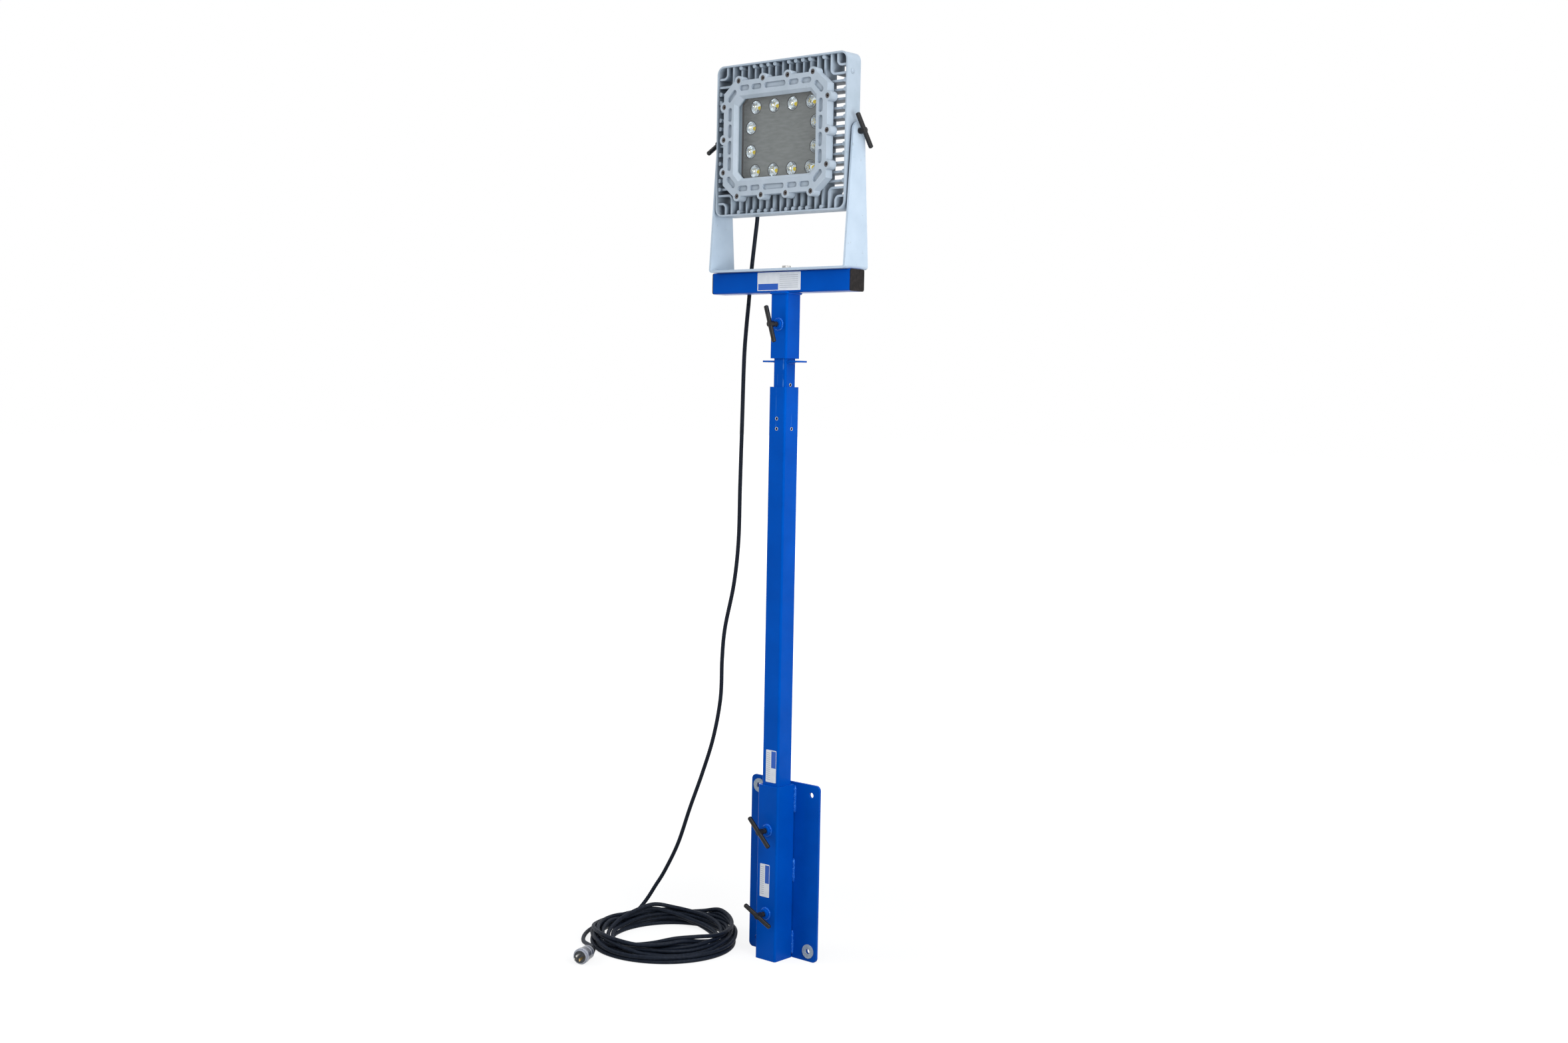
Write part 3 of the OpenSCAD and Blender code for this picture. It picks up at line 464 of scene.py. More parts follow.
def sticker(name, body, face_y, low, high):
    """A thin round-cornered sheet on a face that looks to the front; low and high are (x, z) in mm."""
    cx, cz = (low[0] + high[0]) / 2 * MM, (low[1] + high[1]) / 2 * MM
    half_w, half_h = (high[0] - low[0]) / 2 * MM, (high[1] - low[1]) / 2 * MM
    outline = []
    for sx, sz, start in ((1, 1, 0), (-1, 1, 90), (-1, -1, 180), (1, -1, 270)):
        for degrees in range(start, start + 91, 15):
            turn = math.radians(degrees)
            x = cx + sx * (half_w - STICKER_CORNER_R) + STICKER_CORNER_R * math.cos(turn)
            z = cz + sz * (half_h - STICKER_CORNER_R) + STICKER_CORNER_R * math.sin(turn)
            outline.append((x, z))
    mesh = bmesh.new()
    front = [mesh.verts.new((x, face_y - STICKER_T, z)) for x, z in outline]
    back = [mesh.verts.new((x, face_y, z)) for x, z in outline]
    mesh.faces.new(front)
    mesh.faces.new(back[::-1])
    for k in range(len(outline)):
        after = (k + 1) % len(outline)
        mesh.faces.new((front[after], front[k], back[k], back[after]))
    bmesh.ops.recalc_face_normals(mesh, faces=mesh.faces)
    piece = make_piece(name, mesh, smooth=False)
    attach(piece, body)
    return piece


MAST_LOW, MAST_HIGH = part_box("mast_tube")
crossbar_sticker = sticker("crossbar_sticker", "head", CROSSBAR_LOW.y, (-68, 1389.5), (66, 1432.5))
mast_sticker = sticker("mast_sticker", "base", MAST_LOW.y, (-13, 218), (19, 296))
socket_sticker = sticker("socket_sticker", "base", SOCKET_LOW.y, (-20, -61), (10, 19))
print("stickers: 3")

# %% [markdown]
# ## Small round parts
# A small earth screw with a washer sits on the lamp's right rim, every LED has a domed phosphor cap, and
# the plug has a clear collar round its face. All are turned from a profile, as on a lathe. A black seal
# runs round the LED panel, each reflector cup sits in a thin dark ring, and the locking pin has worn the
# paint off the edges of its holes; these are thin tubes.

# %% Turned parts
def add_turned(mesh, profile, place, axis, steps=28):
    """Adds a round part: profile points are (radius, distance along the axis) in mm."""
    turn = Vector((0, 0, 1)).rotation_difference(Vector(axis)).to_matrix()
    rings = []
    for radius, along in profile:
        ring = []
        for k in range(steps):
            a = 2 * math.pi * k / steps
            spot = Vector((radius * math.cos(a), radius * math.sin(a), along)) * MM
            ring.append(mesh.verts.new(Vector(place) + turn @ spot))
        rings.append(ring)
    for one, two in zip(rings, rings[1:]):
        for k in range(steps):
            mesh.faces.new((one[k], one[(k + 1) % steps], two[(k + 1) % steps], two[k]))
    mesh.faces.new(rings[-1])
    mesh.faces.new(rings[0][::-1])


RIM_SCREW = (200 * MM, -53 * MM, 1880.8 * MM)
RIM_SCREW_PROFILE = [
    (6.5, -0.5), (6.5, 0.9), (6.1, 1.3), (3.9, 1.4), (3.8, 2.6), (3.2, 3.3), (1.7, 3.5), (1.5, 2.4),
    (0.2, 2.2),
]
mesh = bmesh.new()
add_turned(mesh, RIM_SCREW_PROFILE, RIM_SCREW, X_AXIS)
rim_screw = fit_piece("rim_screw", mesh, "lamp")

DRIVER_LOW, DRIVER_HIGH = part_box("driver_case")
LID_SCREW_PROFILE = [(3.6, -0.5), (3.6, 1.6), (3.0, 2.3), (1.6, 2.4), (1.4, 1.2), (0.2, 1.1)]
LID_INSET = 9 * MM
mesh = bmesh.new()
for x in (DRIVER_LOW.x + LID_INSET, DRIVER_HIGH.x - LID_INSET):
    for z in (DRIVER_LOW.z + LID_INSET, DRIVER_HIGH.z - LID_INSET):
        add_turned(mesh, LID_SCREW_PROFILE, (x, DRIVER_HIGH.y, z), Y_AXIS, 20)
lid_screws = fit_piece("lid_screws", mesh, "lamp")

COLLAR_PROFILE = [
    (17.2, 27), (18.6, 27.4), (19.0, 28.5), (19.0, 36), (18.6, 38.5), (17.6, 39.8), (16.6, 39.6),
    (16.2, 38.4), (16.2, 28), (17.2, 27),
]
mesh = bmesh.new()
add_turned(mesh, COLLAR_PROFILE, PLUG_PLACE, PLUG_AHEAD, 40)
plug_collar = fit_piece("plug_collar", mesh, "base")
print("turned pieces: 3, faces of the rim screw:", len(rim_screw.data.polygons))

# %% Seal and LED rings
PIVOT_Z = middle_z("lamp_housing")
PANEL_LOW, PANEL_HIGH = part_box("led_panel")
PANEL_CUT = 17 * MM
LED_PITCH_X = 56.7 * MM
LED_ROW_Z = 75 * MM
LED_SIDE_X = 99.5 * MM
LED_PITCH_Z = 56 * MM
CUP_R = 16 * MM
CUP_RING_R = 0.8 * MM
SEAL_R = 2.2 * MM
SEAL_INSET = 1.5 * MM
SEAL_STEP = 3 * MM
RING_SIDES = 8

led_places = [(i * LED_PITCH_X, s * LED_ROW_Z) for s in (-1, 1) for i in (-1.5, -0.5, 0.5, 1.5)]
led_places += [(s * LED_SIDE_X, i * LED_PITCH_Z) for s in (-1, 1) for i in (-0.5, 0.5)]
mesh = bmesh.new()
for x, z in led_places:
    cup_ring = circle_line((x, PANEL_LOW.y, PIVOT_Z + z), CUP_R, X_AXIS, 40)
    add_tube(mesh, cup_ring, CUP_RING_R, RING_SIDES)
half_x, half_z = PANEL_HIGH.x - SEAL_INSET, (PANEL_HIGH.z - PANEL_LOW.z) / 2 - SEAL_INSET
corners = [
    (half_x, half_z - PANEL_CUT), (half_x - PANEL_CUT, half_z), (PANEL_CUT - half_x, half_z),
    (-half_x, half_z - PANEL_CUT), (-half_x, PANEL_CUT - half_z), (PANEL_CUT - half_x, -half_z),
    (half_x - PANEL_CUT, -half_z), (half_x, PANEL_CUT - half_z), (half_x, half_z - PANEL_CUT),
]
seal_line = [(x, PANEL_LOW.y, PIVOT_Z + z) for x, z in corners]
add_tube(mesh, even_steps(np.array(seal_line), SEAL_STEP), SEAL_R, RING_SIDES)
led_seals = fit_piece("led_seals", mesh, "lamp")

DOME_PROFILE = [(4.2, -1), (4.2, 0.6), (4.0, 1.8), (3.4, 2.9), (2.4, 3.7), (1.2, 4.2), (0.2, 4.3)]
CHIP_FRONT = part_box("led_chips")[0].y
mesh = bmesh.new()
for x, z in led_places:
    add_turned(mesh, DOME_PROFILE, (x, CHIP_FRONT, PIVOT_Z + z), (0, -1, 0))
led_domes = fit_piece("led_domes", mesh, "lamp")
print("led rings:", len(led_places))

# %% Worn edges of the pin holes
PIN_R = 4.5 * MM
PIN_DOWN = 75 * MM
PIN_PITCH = 24 * MM
PIN_UP = 5 * MM
WORN_R = 0.85 * MM
WORN_RING_R = PIN_R - 0.75 * MM
WORN_DEPTH = 0.5 * MM


def add_worn_edge(mesh, centre, right):
    """Adds the bare rim of a pin hole in a face that runs along right."""
    add_tube(mesh, circle_line(centre, WORN_RING_R, right, 32), WORN_R, RING_SIDES)


lower_pin = MAST_HIGH.z - PIN_DOWN - PIN_PITCH
mesh = bmesh.new()
for z in (MAST_HIGH.z - PIN_DOWN, lower_pin):
    add_worn_edge(mesh, (0, MAST_LOW.y + WORN_DEPTH, z), X_AXIS)
add_worn_edge(mesh, (MAST_HIGH.x - WORN_DEPTH, MAST_Y, lower_pin), Y_AXIS)
mast_pin_edges = fit_piece("mast_pin_edges", mesh, "base")

mesh = bmesh.new()
add_worn_edge(mesh, (EXTENSION_HIGH.x - WORN_DEPTH, MAST_Y, MAST_HIGH.z + PIN_UP), Y_AXIS)
head_pin_edge = fit_piece("head_pin_edge", mesh, "head")
print("worn hole edges: 4")

# %% [markdown]
# ## Helpers for the finishes
# Each finish is one Principled shader. Noise in the object's own coordinates breaks up its colour, its
# roughness and its surface, so nothing depends on an unwrapped mesh and a moved part keeps its pattern.
# Sizes are given in metres, as the real grain would be measured.

# %% Helpers for materials
def new_material(name):
    """An empty node material and its links, ready to be filled."""
    material = bpy.data.materials.new(name)
    material.use_nodes = True
    material.node_tree.nodes.clear()
    return material, material.node_tree.nodes, material.node_tree.links


def finish(name, specular=0.5, metallic=0.0):
    """A material with one Principled shader joined to its output."""
    material, nodes, links = new_material(name)
    shader = nodes.new("ShaderNodeBsdfPrincipled")
    shader.inputs["Specular IOR Level"].default_value = specular
    shader.inputs["Metallic"].default_value = metallic
    links.new(shader.outputs["BSDF"], nodes.new("ShaderNodeOutputMaterial").inputs["Surface"])
    return material, shader


def own_place(material):
    """The point's place in the piece's own coordinates, in metres."""
    return material.node_tree.nodes.new("ShaderNodeTexCoord").outputs["Object"]


def paint_in(material, shader, **sockets):
    """Joins patterns to the shader's sockets by name, with _ for a space."""
    for name, value in sockets.items():
        material.node_tree.links.new(value, shader.inputs[name.replace("_", " ")])


def grain(material, shader, value, depth):
    """A fine relief of the given depth."""
    nodes, links = material.node_tree.nodes, material.node_tree.links
    bump = nodes.new("ShaderNodeBump")
    bump.inputs["Distance"].default_value = depth
    links.new(value, bump.inputs["Height"])
    links.new(bump.outputs["Normal"], shader.inputs["Normal"])


print("material helpers: 5")

# %% Helpers for patterns
def noise(material, size, detail=3.0, stretch=(1, 1, 1)):
    """A noise pattern whose lumps are about one size across."""
    nodes, links = material.node_tree.nodes, material.node_tree.links
    fit = nodes.new("ShaderNodeMapping")
    fit.inputs["Scale"].default_value = stretch
    links.new(own_place(material), fit.inputs["Vector"])
    texture = nodes.new("ShaderNodeTexNoise")
    texture.inputs["Scale"].default_value = 1 / size
    texture.inputs["Detail"].default_value = detail
    links.new(fit.outputs["Vector"], texture.inputs["Vector"])
    return texture.outputs["Fac"]


def spread(material, value, low, high, start=0.3, end=0.7):
    """A pattern's values from start to end, spread from low to high."""
    nodes, links = material.node_tree.nodes, material.node_tree.links
    ramp = nodes.new("ShaderNodeMapRange")
    ramp.inputs["From Min"].default_value = start
    ramp.inputs["From Max"].default_value = end
    ramp.inputs["To Min"].default_value = low
    ramp.inputs["To Max"].default_value = high
    links.new(value, ramp.inputs["Value"])
    return ramp.outputs["Result"]


def shades(material, value, stops):
    """Colours for a pattern's values; stops are (value, (red, green, blue))."""
    nodes, links = material.node_tree.nodes, material.node_tree.links
    ramp = nodes.new("ShaderNodeValToRGB")
    stones = ramp.color_ramp.elements
    while len(stones) < len(stops):
        stones.new(1.0)
    for stone, (at, colour) in zip(stones, stops):
        stone.position = at
        stone.color = (*colour, 1)
    links.new(value, ramp.inputs["Fac"])
    return ramp.outputs["Color"]


def blend_colour(material, factor, one, two):
    """Colour one where factor is 0 and colour two, a constant, where it is 1."""
    nodes, links = material.node_tree.nodes, material.node_tree.links
    mix = nodes.new("ShaderNodeMix")
    mix.data_type = "RGBA"
    links.new(factor, mix.inputs["Factor"])
    links.new(one, mix.inputs[6])
    mix.inputs[7].default_value = (*two, 1)
    return mix.outputs[2]


def sums(material, operation, *values):
    """A Math node over sockets and numbers."""
    nodes, links = material.node_tree.nodes, material.node_tree.links
    node = nodes.new("ShaderNodeMath")
    node.operation = operation
    for slot, value in zip(node.inputs, values):
        if isinstance(value, (int, float)):
            slot.default_value = value
        else:
            links.new(value, slot)
    return node.outputs[0]


def inside(material, value, low, high):
    """1 where a value lies between low and high, else 0."""
    return sums(material, "COMPARE", value, (low + high) / 2, (high - low) / 2)


print("pattern helpers: 6")

# %% [markdown]
# ## Blue powder coat
# Plate, socket, mast, extension, neck and crossbar wear one gloss blue powder coat with a faint orange
# peel. The telescoping tubes are rubbed: pale lines run up the mast's front through the pin holes and
# up the extension beside its corner. Such wear could be a painted image; here a line is where two ranges
# meet, broken up by noise. The beads have the same paint, which is thin and shiny there.

# %% Blue powder coat
BLUE_DEEP = (0.0, 0.066, 0.40)
BLUE_FULL = (0.0, 0.082, 0.48)
BLUE_RUBBED = (0.13, 0.36, 0.75)
BLUE_SHINE = (0.02, 0.22, 0.75, 1)
BEAD_PALE = (0.04, 0.2, 0.62)
BEAD_SHINE = (0.25, 0.5, 0.9, 1)


def rubbed_line(material, colour, axis, at, width, low, high, wear):
    """A pale line up a face: axis is X or Y, at its place on that axis, low and high its ends."""
    nodes, links = material.node_tree.nodes, material.node_tree.links
    split = nodes.new("ShaderNodeSeparateXYZ")
    links.new(own_place(material), split.inputs[0])
    near = inside(material, split.outputs[axis], at - width / 2, at + width / 2)
    along = inside(material, split.outputs["Z"], low, high)
    broken = spread(material, noise(material, 14 * MM, 4, (1, 1, 0.5)), 0, wear, 0.42, 0.54)
    line = sums(material, "MULTIPLY", sums(material, "MULTIPLY", near, along), broken)
    return blend_colour(material, line, colour, BLUE_RUBBED)


def blue_coat(name, lines=()):
    material, shader = finish(name, specular=0.16)
    shader.inputs["Specular Tint"].default_value = BLUE_SHINE
    colour = shades(material, noise(material, 90 * MM), ((0.3, BLUE_DEEP), (0.7, BLUE_FULL)))
    for line in lines:
        colour = rubbed_line(material, colour, *line)
    shine = spread(material, noise(material, 25 * MM), 0.30, 0.42)
    paint_in(material, shader, Base_Color=colour, Roughness=shine)
    grain(material, shader, noise(material, 2.6 * MM, 2), 0.05 * MM)
    return material


MAST_TOP = MAST_HIGH.z
blue = blue_coat("blue_powder_coat")
mast_blue = blue_coat("mast_blue", [
    ("X", -2.5 * MM, 1.6 * MM, MAST_TOP - 100 * MM, MAST_TOP, 0.2),
    ("Y", -39.8 * MM, 1.2 * MM, MAST_TOP - 95 * MM, MAST_TOP - 58 * MM, 0.2),
])
extension_blue = blue_coat("extension_blue", [
    ("X", 12.5 * MM, 3.6 * MM, MAST_TOP - 10 * MM, MAST_TOP + 70 * MM, 0.34),
    ("X", -5 * MM, 1.0 * MM, MAST_TOP - 10 * MM, MAST_TOP + 30 * MM, 0.15),
])

bead_blue, shader = finish("bead_blue", specular=0.5)
shader.inputs["Specular Tint"].default_value = BEAD_SHINE
colour = shades(bead_blue, noise(bead_blue, 3 * MM, 2), ((0.5, BLUE_FULL), (0.7, BEAD_PALE)))
shine = spread(bead_blue, noise(bead_blue, 4 * MM), 0.12, 0.3)
paint_in(bead_blue, shader, Base_Color=colour, Roughness=shine)
grain(bead_blue, shader, noise(bead_blue, 2 * MM, 2), 0.25 * MM)
print("blue finishes: 4")

# %% [markdown]
# ## Pale coats on the lamp and the yoke
# The cast housing and the yoke have a pale blue-grey powder coat. The casting shows a fine sandy grain
# and cloudy tone; the bezel is a little darker; the bent strap is smoother, with a few grey marks. Painted
# shade darkens the casting between its fins, where an ambient occlusion node finds the hollows.

# %% Pale coats
MARK_GREY = (0.22, 0.25, 0.27)
# The tone and reach of the painted shade that darkens hollows such as the gaps between fins.
CREASE_SHADE_GREY = (0.12, 0.15, 0.19)
CREASE_SHADE_REACH = 24 * MM


def pale_coat(name, low, high, sand, depth, marks=0.0, crease_shade=0.0):
    """A pale coat between two tones; sand is the grain's size, marks the share of grey marks, and the last
    argument the share of painted shade in hollows.
    """
    material, shader = finish(name, specular=0.3)
    colour = shades(material, noise(material, 45 * MM, 5), ((0.32, low), (0.68, high)))
    if marks:
        spots = spread(material, noise(material, 9 * MM, 4), 0, marks, 0.66, 0.72)
        colour = blend_colour(material, spots, colour, MARK_GREY)
    if crease_shade:
        # Painted shade: the coat turns dark grey where the ambient occlusion node finds hollows, such as
        # between fins.
        hollows = material.node_tree.nodes.new("ShaderNodeAmbientOcclusion")
        hollows.inputs["Distance"].default_value = CREASE_SHADE_REACH
        painted_shade = spread(material, hollows.outputs["AO"], crease_shade, 0, 0.2, 0.85)
        colour = blend_colour(material, painted_shade, colour, CREASE_SHADE_GREY)
    shine = spread(material, noise(material, 16 * MM), 0.42, 0.58)
    paint_in(material, shader, Base_Color=colour, Roughness=shine)
    grain(material, shader, noise(material, sand, 3), depth)
    return material


housing_coat = pale_coat(
    "housing_coat", (0.37, 0.45, 0.53), (0.43, 0.51, 0.60), 1.6 * MM, 0.07 * MM, marks=0.25, crease_shade=0.8)
bezel_coat = pale_coat(
    "bezel_coat", (0.39, 0.46, 0.53), (0.44, 0.51, 0.59), 1.6 * MM, 0.06 * MM, marks=0.2, crease_shade=0.4)
yoke_coat = pale_coat(
    "yoke_coat", (0.43, 0.53, 0.64), (0.48, 0.58, 0.69), 2.4 * MM, 0.04 * MM, marks=0.35)
print("pale finishes: 3")

# %% [markdown]
# ## Black parts
# The T-handle bars have dipped vinyl grips, satin with a soft grain. The crossbar's end caps, the gland
# and the seals are harder plastic with a rougher skin, and the lead has a matte rubber jacket, a little
# blue. One function makes all three, because only their tones, shine and grain differ.

# %% Black parts
def black_finish(name, low, high, rough_low, rough_high, sand, depth, specular=0.4):
    material, shader = finish(name, specular)
    colour = shades(material, noise(material, 7 * MM, 4), ((0.35, low), (0.7, high)))
    shine = spread(material, noise(material, 5 * MM), rough_low, rough_high)
    paint_in(material, shader, Base_Color=colour, Roughness=shine)
    grain(material, shader, noise(material, sand, 3), depth)
    return material


grip_vinyl = black_finish(
    "grip_vinyl", (0.005, 0.005, 0.006), (0.011, 0.011, 0.012), 0.26, 0.4, 1.2 * MM, 0.05 * MM, 0.3)
cap_plastic = black_finish(
    "cap_plastic", (0.008, 0.007, 0.007), (0.018, 0.015, 0.015), 0.4, 0.6, 0.9 * MM, 0.08 * MM, 0.14)
cord_rubber = black_finish(
    "cord_rubber", (0.004, 0.007, 0.014), (0.009, 0.014, 0.026), 0.45, 0.65, 1.5 * MM, 0.07 * MM, 0.14)
print("black finishes: 3")

# %% [markdown]
# ## Bare and blackened steel
# Handle stems and bezel bolts are blackened, the yoke's bolt is bare grey steel with stains, and the two
# fender washers on the plate are dull zinc. Pure metal would mirror the white studio, so each of them is
# only partly metallic, as a skin of oxide or zinc is.

# %% Bare and blackened steel
def steel(name, low, high, metallic, rough_low, rough_high):
    material, shader = finish(name, metallic=metallic)
    colour = shades(material, noise(material, 4 * MM, 5), ((0.35, low), (0.65, high)))
    shine = spread(material, noise(material, 3 * MM), rough_low, rough_high)
    paint_in(material, shader, Base_Color=colour, Roughness=shine)
    grain(material, shader, noise(material, 0.8 * MM, 2, (1, 1, 4)), 0.03 * MM)
    return material


stem_steel = steel("stem_steel", (0.02, 0.02, 0.022), (0.06, 0.058, 0.058), 0.6, 0.3, 0.5)
bolt_dark = steel("bolt_dark", (0.05, 0.045, 0.045), (0.16, 0.145, 0.14), 0.7, 0.28, 0.45)
bolt_grey = steel("bolt_grey", (0.36, 0.35, 0.33), (0.55, 0.54, 0.52), 0.6, 0.3, 0.5)
washer_zinc = steel("washer_zinc", (0.26, 0.32, 0.38), (0.38, 0.44, 0.49), 0.25, 0.35, 0.5)
print("steel finishes: 4")

# %% [markdown]
# ## The light engine
# Behind the glass lies a dull grey LED panel with a rolled grain, twelve bright reflector cups with small
# facets, and yellow phosphor on each white LED, with a faint painted glow. A glass shader would bend and
# block the studio's light, so the window is a mix of a clear and a mirror surface, which lets it reach the
# panel. The mirror's share grows as the view gets flatter, by Schlick's rule: it is 0.08 straight on, for
# the two faces of the pane, and rises with the fifth power of the facing.

# %% Panel and reflector cups
panel_grey, shader = finish("panel_grey", specular=0.3, metallic=0.25)
rolled = noise(panel_grey, 6 * MM, 5, (0.25, 1, 1))
colour = shades(panel_grey, rolled, ((0.35, (0.19, 0.184, 0.176)), (0.65, (0.25, 0.243, 0.232))))
paint_in(panel_grey, shader, Base_Color=colour, Roughness=spread(panel_grey, rolled, 0.42, 0.58))
grain(panel_grey, shader, noise(panel_grey, 1.2 * MM, 3, (0.2, 1, 1)), 0.03 * MM)

cup_chrome, shader = finish("cup_chrome", metallic=1.0)
facets = cup_chrome.node_tree.nodes.new("ShaderNodeTexVoronoi")
facets.inputs["Scale"].default_value = 1 / (3.2 * MM)
cup_chrome.node_tree.links.new(own_place(cup_chrome), facets.inputs["Vector"])
facet = facets.outputs["Distance"]
colour = shades(cup_chrome, facet, ((0.1, (0.86, 0.87, 0.88)), (0.8, (0.6, 0.61, 0.63))))
paint_in(cup_chrome, shader, Base_Color=colour, Roughness=spread(cup_chrome, facet, 0.08, 0.2))
grain(cup_chrome, shader, facet, 0.5 * MM)
print("panel and cups: 2 finishes")

# %% LEDs
phosphor, shader = finish("phosphor", specular=0.15)
# Painted glow: a faint yellow emission keeps the phosphor bright inside the shaded lamp, which is not lit.
shader.inputs["Emission Color"].default_value = (0.95, 0.66, 0.01, 1)
shader.inputs["Emission Strength"].default_value = 0.28
yellows = ((0.3, (0.74, 0.5, 0.005)), (0.7, (0.86, 0.64, 0.01)))
colour = shades(phosphor, noise(phosphor, 2 * MM), yellows)
shine = spread(phosphor, noise(phosphor, 1 * MM), 0.3, 0.5)
paint_in(phosphor, shader, Base_Color=colour, Roughness=shine)
grain(phosphor, shader, noise(phosphor, 0.7 * MM), 0.05 * MM)

chip_white, shader = finish("chip_white", specular=0.3)
whites = ((0.3, (0.62, 0.62, 0.56)), (0.7, (0.74, 0.74, 0.68)))
colour = shades(chip_white, noise(chip_white, 2 * MM), whites)
shine = spread(chip_white, noise(chip_white, 1 * MM), 0.3, 0.5)
paint_in(chip_white, shader, Base_Color=colour, Roughness=shine)
print("LEDs: 2 finishes")

# %% Window
PANE_MIRROR = 0.08
window_clear, nodes, links = new_material("window_clear")
clear = nodes.new("ShaderNodeBsdfTransparent")
clear.inputs["Color"].default_value = (0.93, 0.96, 0.97, 1)
mirror = nodes.new("ShaderNodeBsdfGlossy")
mirror.inputs["Roughness"].default_value = 0.02
layer = nodes.new("ShaderNodeLayerWeight")
layer.inputs["Blend"].default_value = 0.5
outward = nodes.new("ShaderNodeNewGeometry").outputs["Backfacing"]
share = sums(window_clear, "POWER", layer.outputs["Facing"], 5.0)
share = sums(window_clear, "MULTIPLY_ADD", share, 1 - PANE_MIRROR, PANE_MIRROR)
share = sums(window_clear, "MULTIPLY", share, sums(window_clear, "SUBTRACT", 1.0, outward))
glass = nodes.new("ShaderNodeMixShader")
links.new(share, glass.inputs["Fac"])
links.new(clear.outputs[0], glass.inputs[1])
links.new(mirror.outputs[0], glass.inputs[2])
links.new(glass.outputs[0], nodes.new("ShaderNodeOutputMaterial").inputs["Surface"])
print("window mirrors straight on:", PANE_MIRROR)

# %% [markdown]
# ## The plug
# The plug has a smoky clear body with bright and dark rings where its parts meet, a dark sleeve at the
# back and a dark face with a clear rim. One blade is brass and the other, with the earth pin, is
# silver. Each could be a mesh of its own, but colour is enough at this size: the rings follow the distance
# along the plug's axis, the rim the distance from it, and the blades the side they are on.

# %% Body of the plug
def along_plug(material, direction):
    """Distance from the plug's middle along a direction, in metres."""
    nodes, links = material.node_tree.nodes, material.node_tree.links
    away = nodes.new("ShaderNodeVectorMath")
    away.operation = "SUBTRACT"
    away.inputs[1].default_value = PLUG_PLACE
    links.new(own_place(material), away.inputs[0])
    dot = nodes.new("ShaderNodeVectorMath")
    dot.operation = "DOT_PRODUCT"
    dot.inputs[1].default_value = direction
    links.new(away.outputs[0], dot.inputs[0])
    return dot.outputs["Value"]


PLUG_DARK = (0.022, 0.023, 0.026)
PLUG_SMOKE = (0.085, 0.095, 0.125)
PLUG_BRIGHT = (0.36, 0.385, 0.45)
plug_smoke, shader = finish("plug_smoke", specular=0.6)
depth = spread(plug_smoke, along_plug(plug_smoke, PLUG_AHEAD), 0, 1, -PLUG_SLEEVE, PLUG_LENGTH)
rings = (
    (0.0, PLUG_DARK), (0.36, PLUG_DARK), (0.40, PLUG_BRIGHT), (0.46, PLUG_SMOKE), (0.55, PLUG_SMOKE),
    (0.60, PLUG_BRIGHT), (0.65, PLUG_DARK), (0.70, PLUG_SMOKE), (0.86, PLUG_SMOKE), (0.93, PLUG_BRIGHT),
    (1.0, PLUG_BRIGHT),
)
paint_in(
    plug_smoke, shader, Base_Color=shades(plug_smoke, depth, rings),
    Roughness=spread(plug_smoke, noise(plug_smoke, 6 * MM), 0.14, 0.3),
)
grain(plug_smoke, shader, noise(plug_smoke, 5 * MM), 0.1 * MM)
print("plug rings:", len(rings))

# %% Face and blades of the plug
PLUG_FACE_R = 17 * MM
plug_rimmed, shader = finish("plug_rimmed", specular=0.5)
side = Vector((-PLUG_AHEAD.y, PLUG_AHEAD.x, 0))
sideways = along_plug(plug_rimmed, side)
upward = along_plug(plug_rimmed, Vector(Z_AXIS))
sideways = sums(plug_rimmed, "MULTIPLY", sideways, sideways)
upward = sums(plug_rimmed, "MULTIPLY", upward, upward)
from_axis = sums(plug_rimmed, "SQRT", sums(plug_rimmed, "ADD", sideways, upward))
rim = spread(plug_rimmed, from_axis, 0, 1, 0, PLUG_FACE_R)
rim_stops = ((0.0, (0.03, 0.035, 0.045)), (0.84, (0.02, 0.024, 0.03)), (0.92, PLUG_BRIGHT))
colour = shades(plug_rimmed, rim, rim_stops)
paint_in(
    plug_rimmed, shader, Base_Color=colour,
    Roughness=spread(plug_rimmed, noise(plug_rimmed, 6 * MM), 0.2, 0.36),
)

blade_metal, shader = finish("blade_metal", metallic=0.9)
which = spread(blade_metal, along_plug(blade_metal, side), 0, 1, 2 * MM, 4 * MM)
colour = shades(blade_metal, which, ((0.0, (0.62, 0.62, 0.6)), (1.0, (0.72, 0.5, 0.2))))
paint_in(
    blade_metal, shader, Base_Color=colour,
    Roughness=spread(blade_metal, noise(blade_metal, 3 * MM), 0.18, 0.36),
)
grain(blade_metal, shader, noise(blade_metal, 0.8 * MM), 0.02 * MM)
print("plug face and blades: 2 finishes")

# %% [markdown]
# ## Print on the blank stickers
# White vinyl with one plain blue block and a few thin grey rules. An image could do this, but ranges stay
# sharp at any distance. The print is placed by the sticker's own extent, from 0 to 1 across and up, so one
# function serves all three.

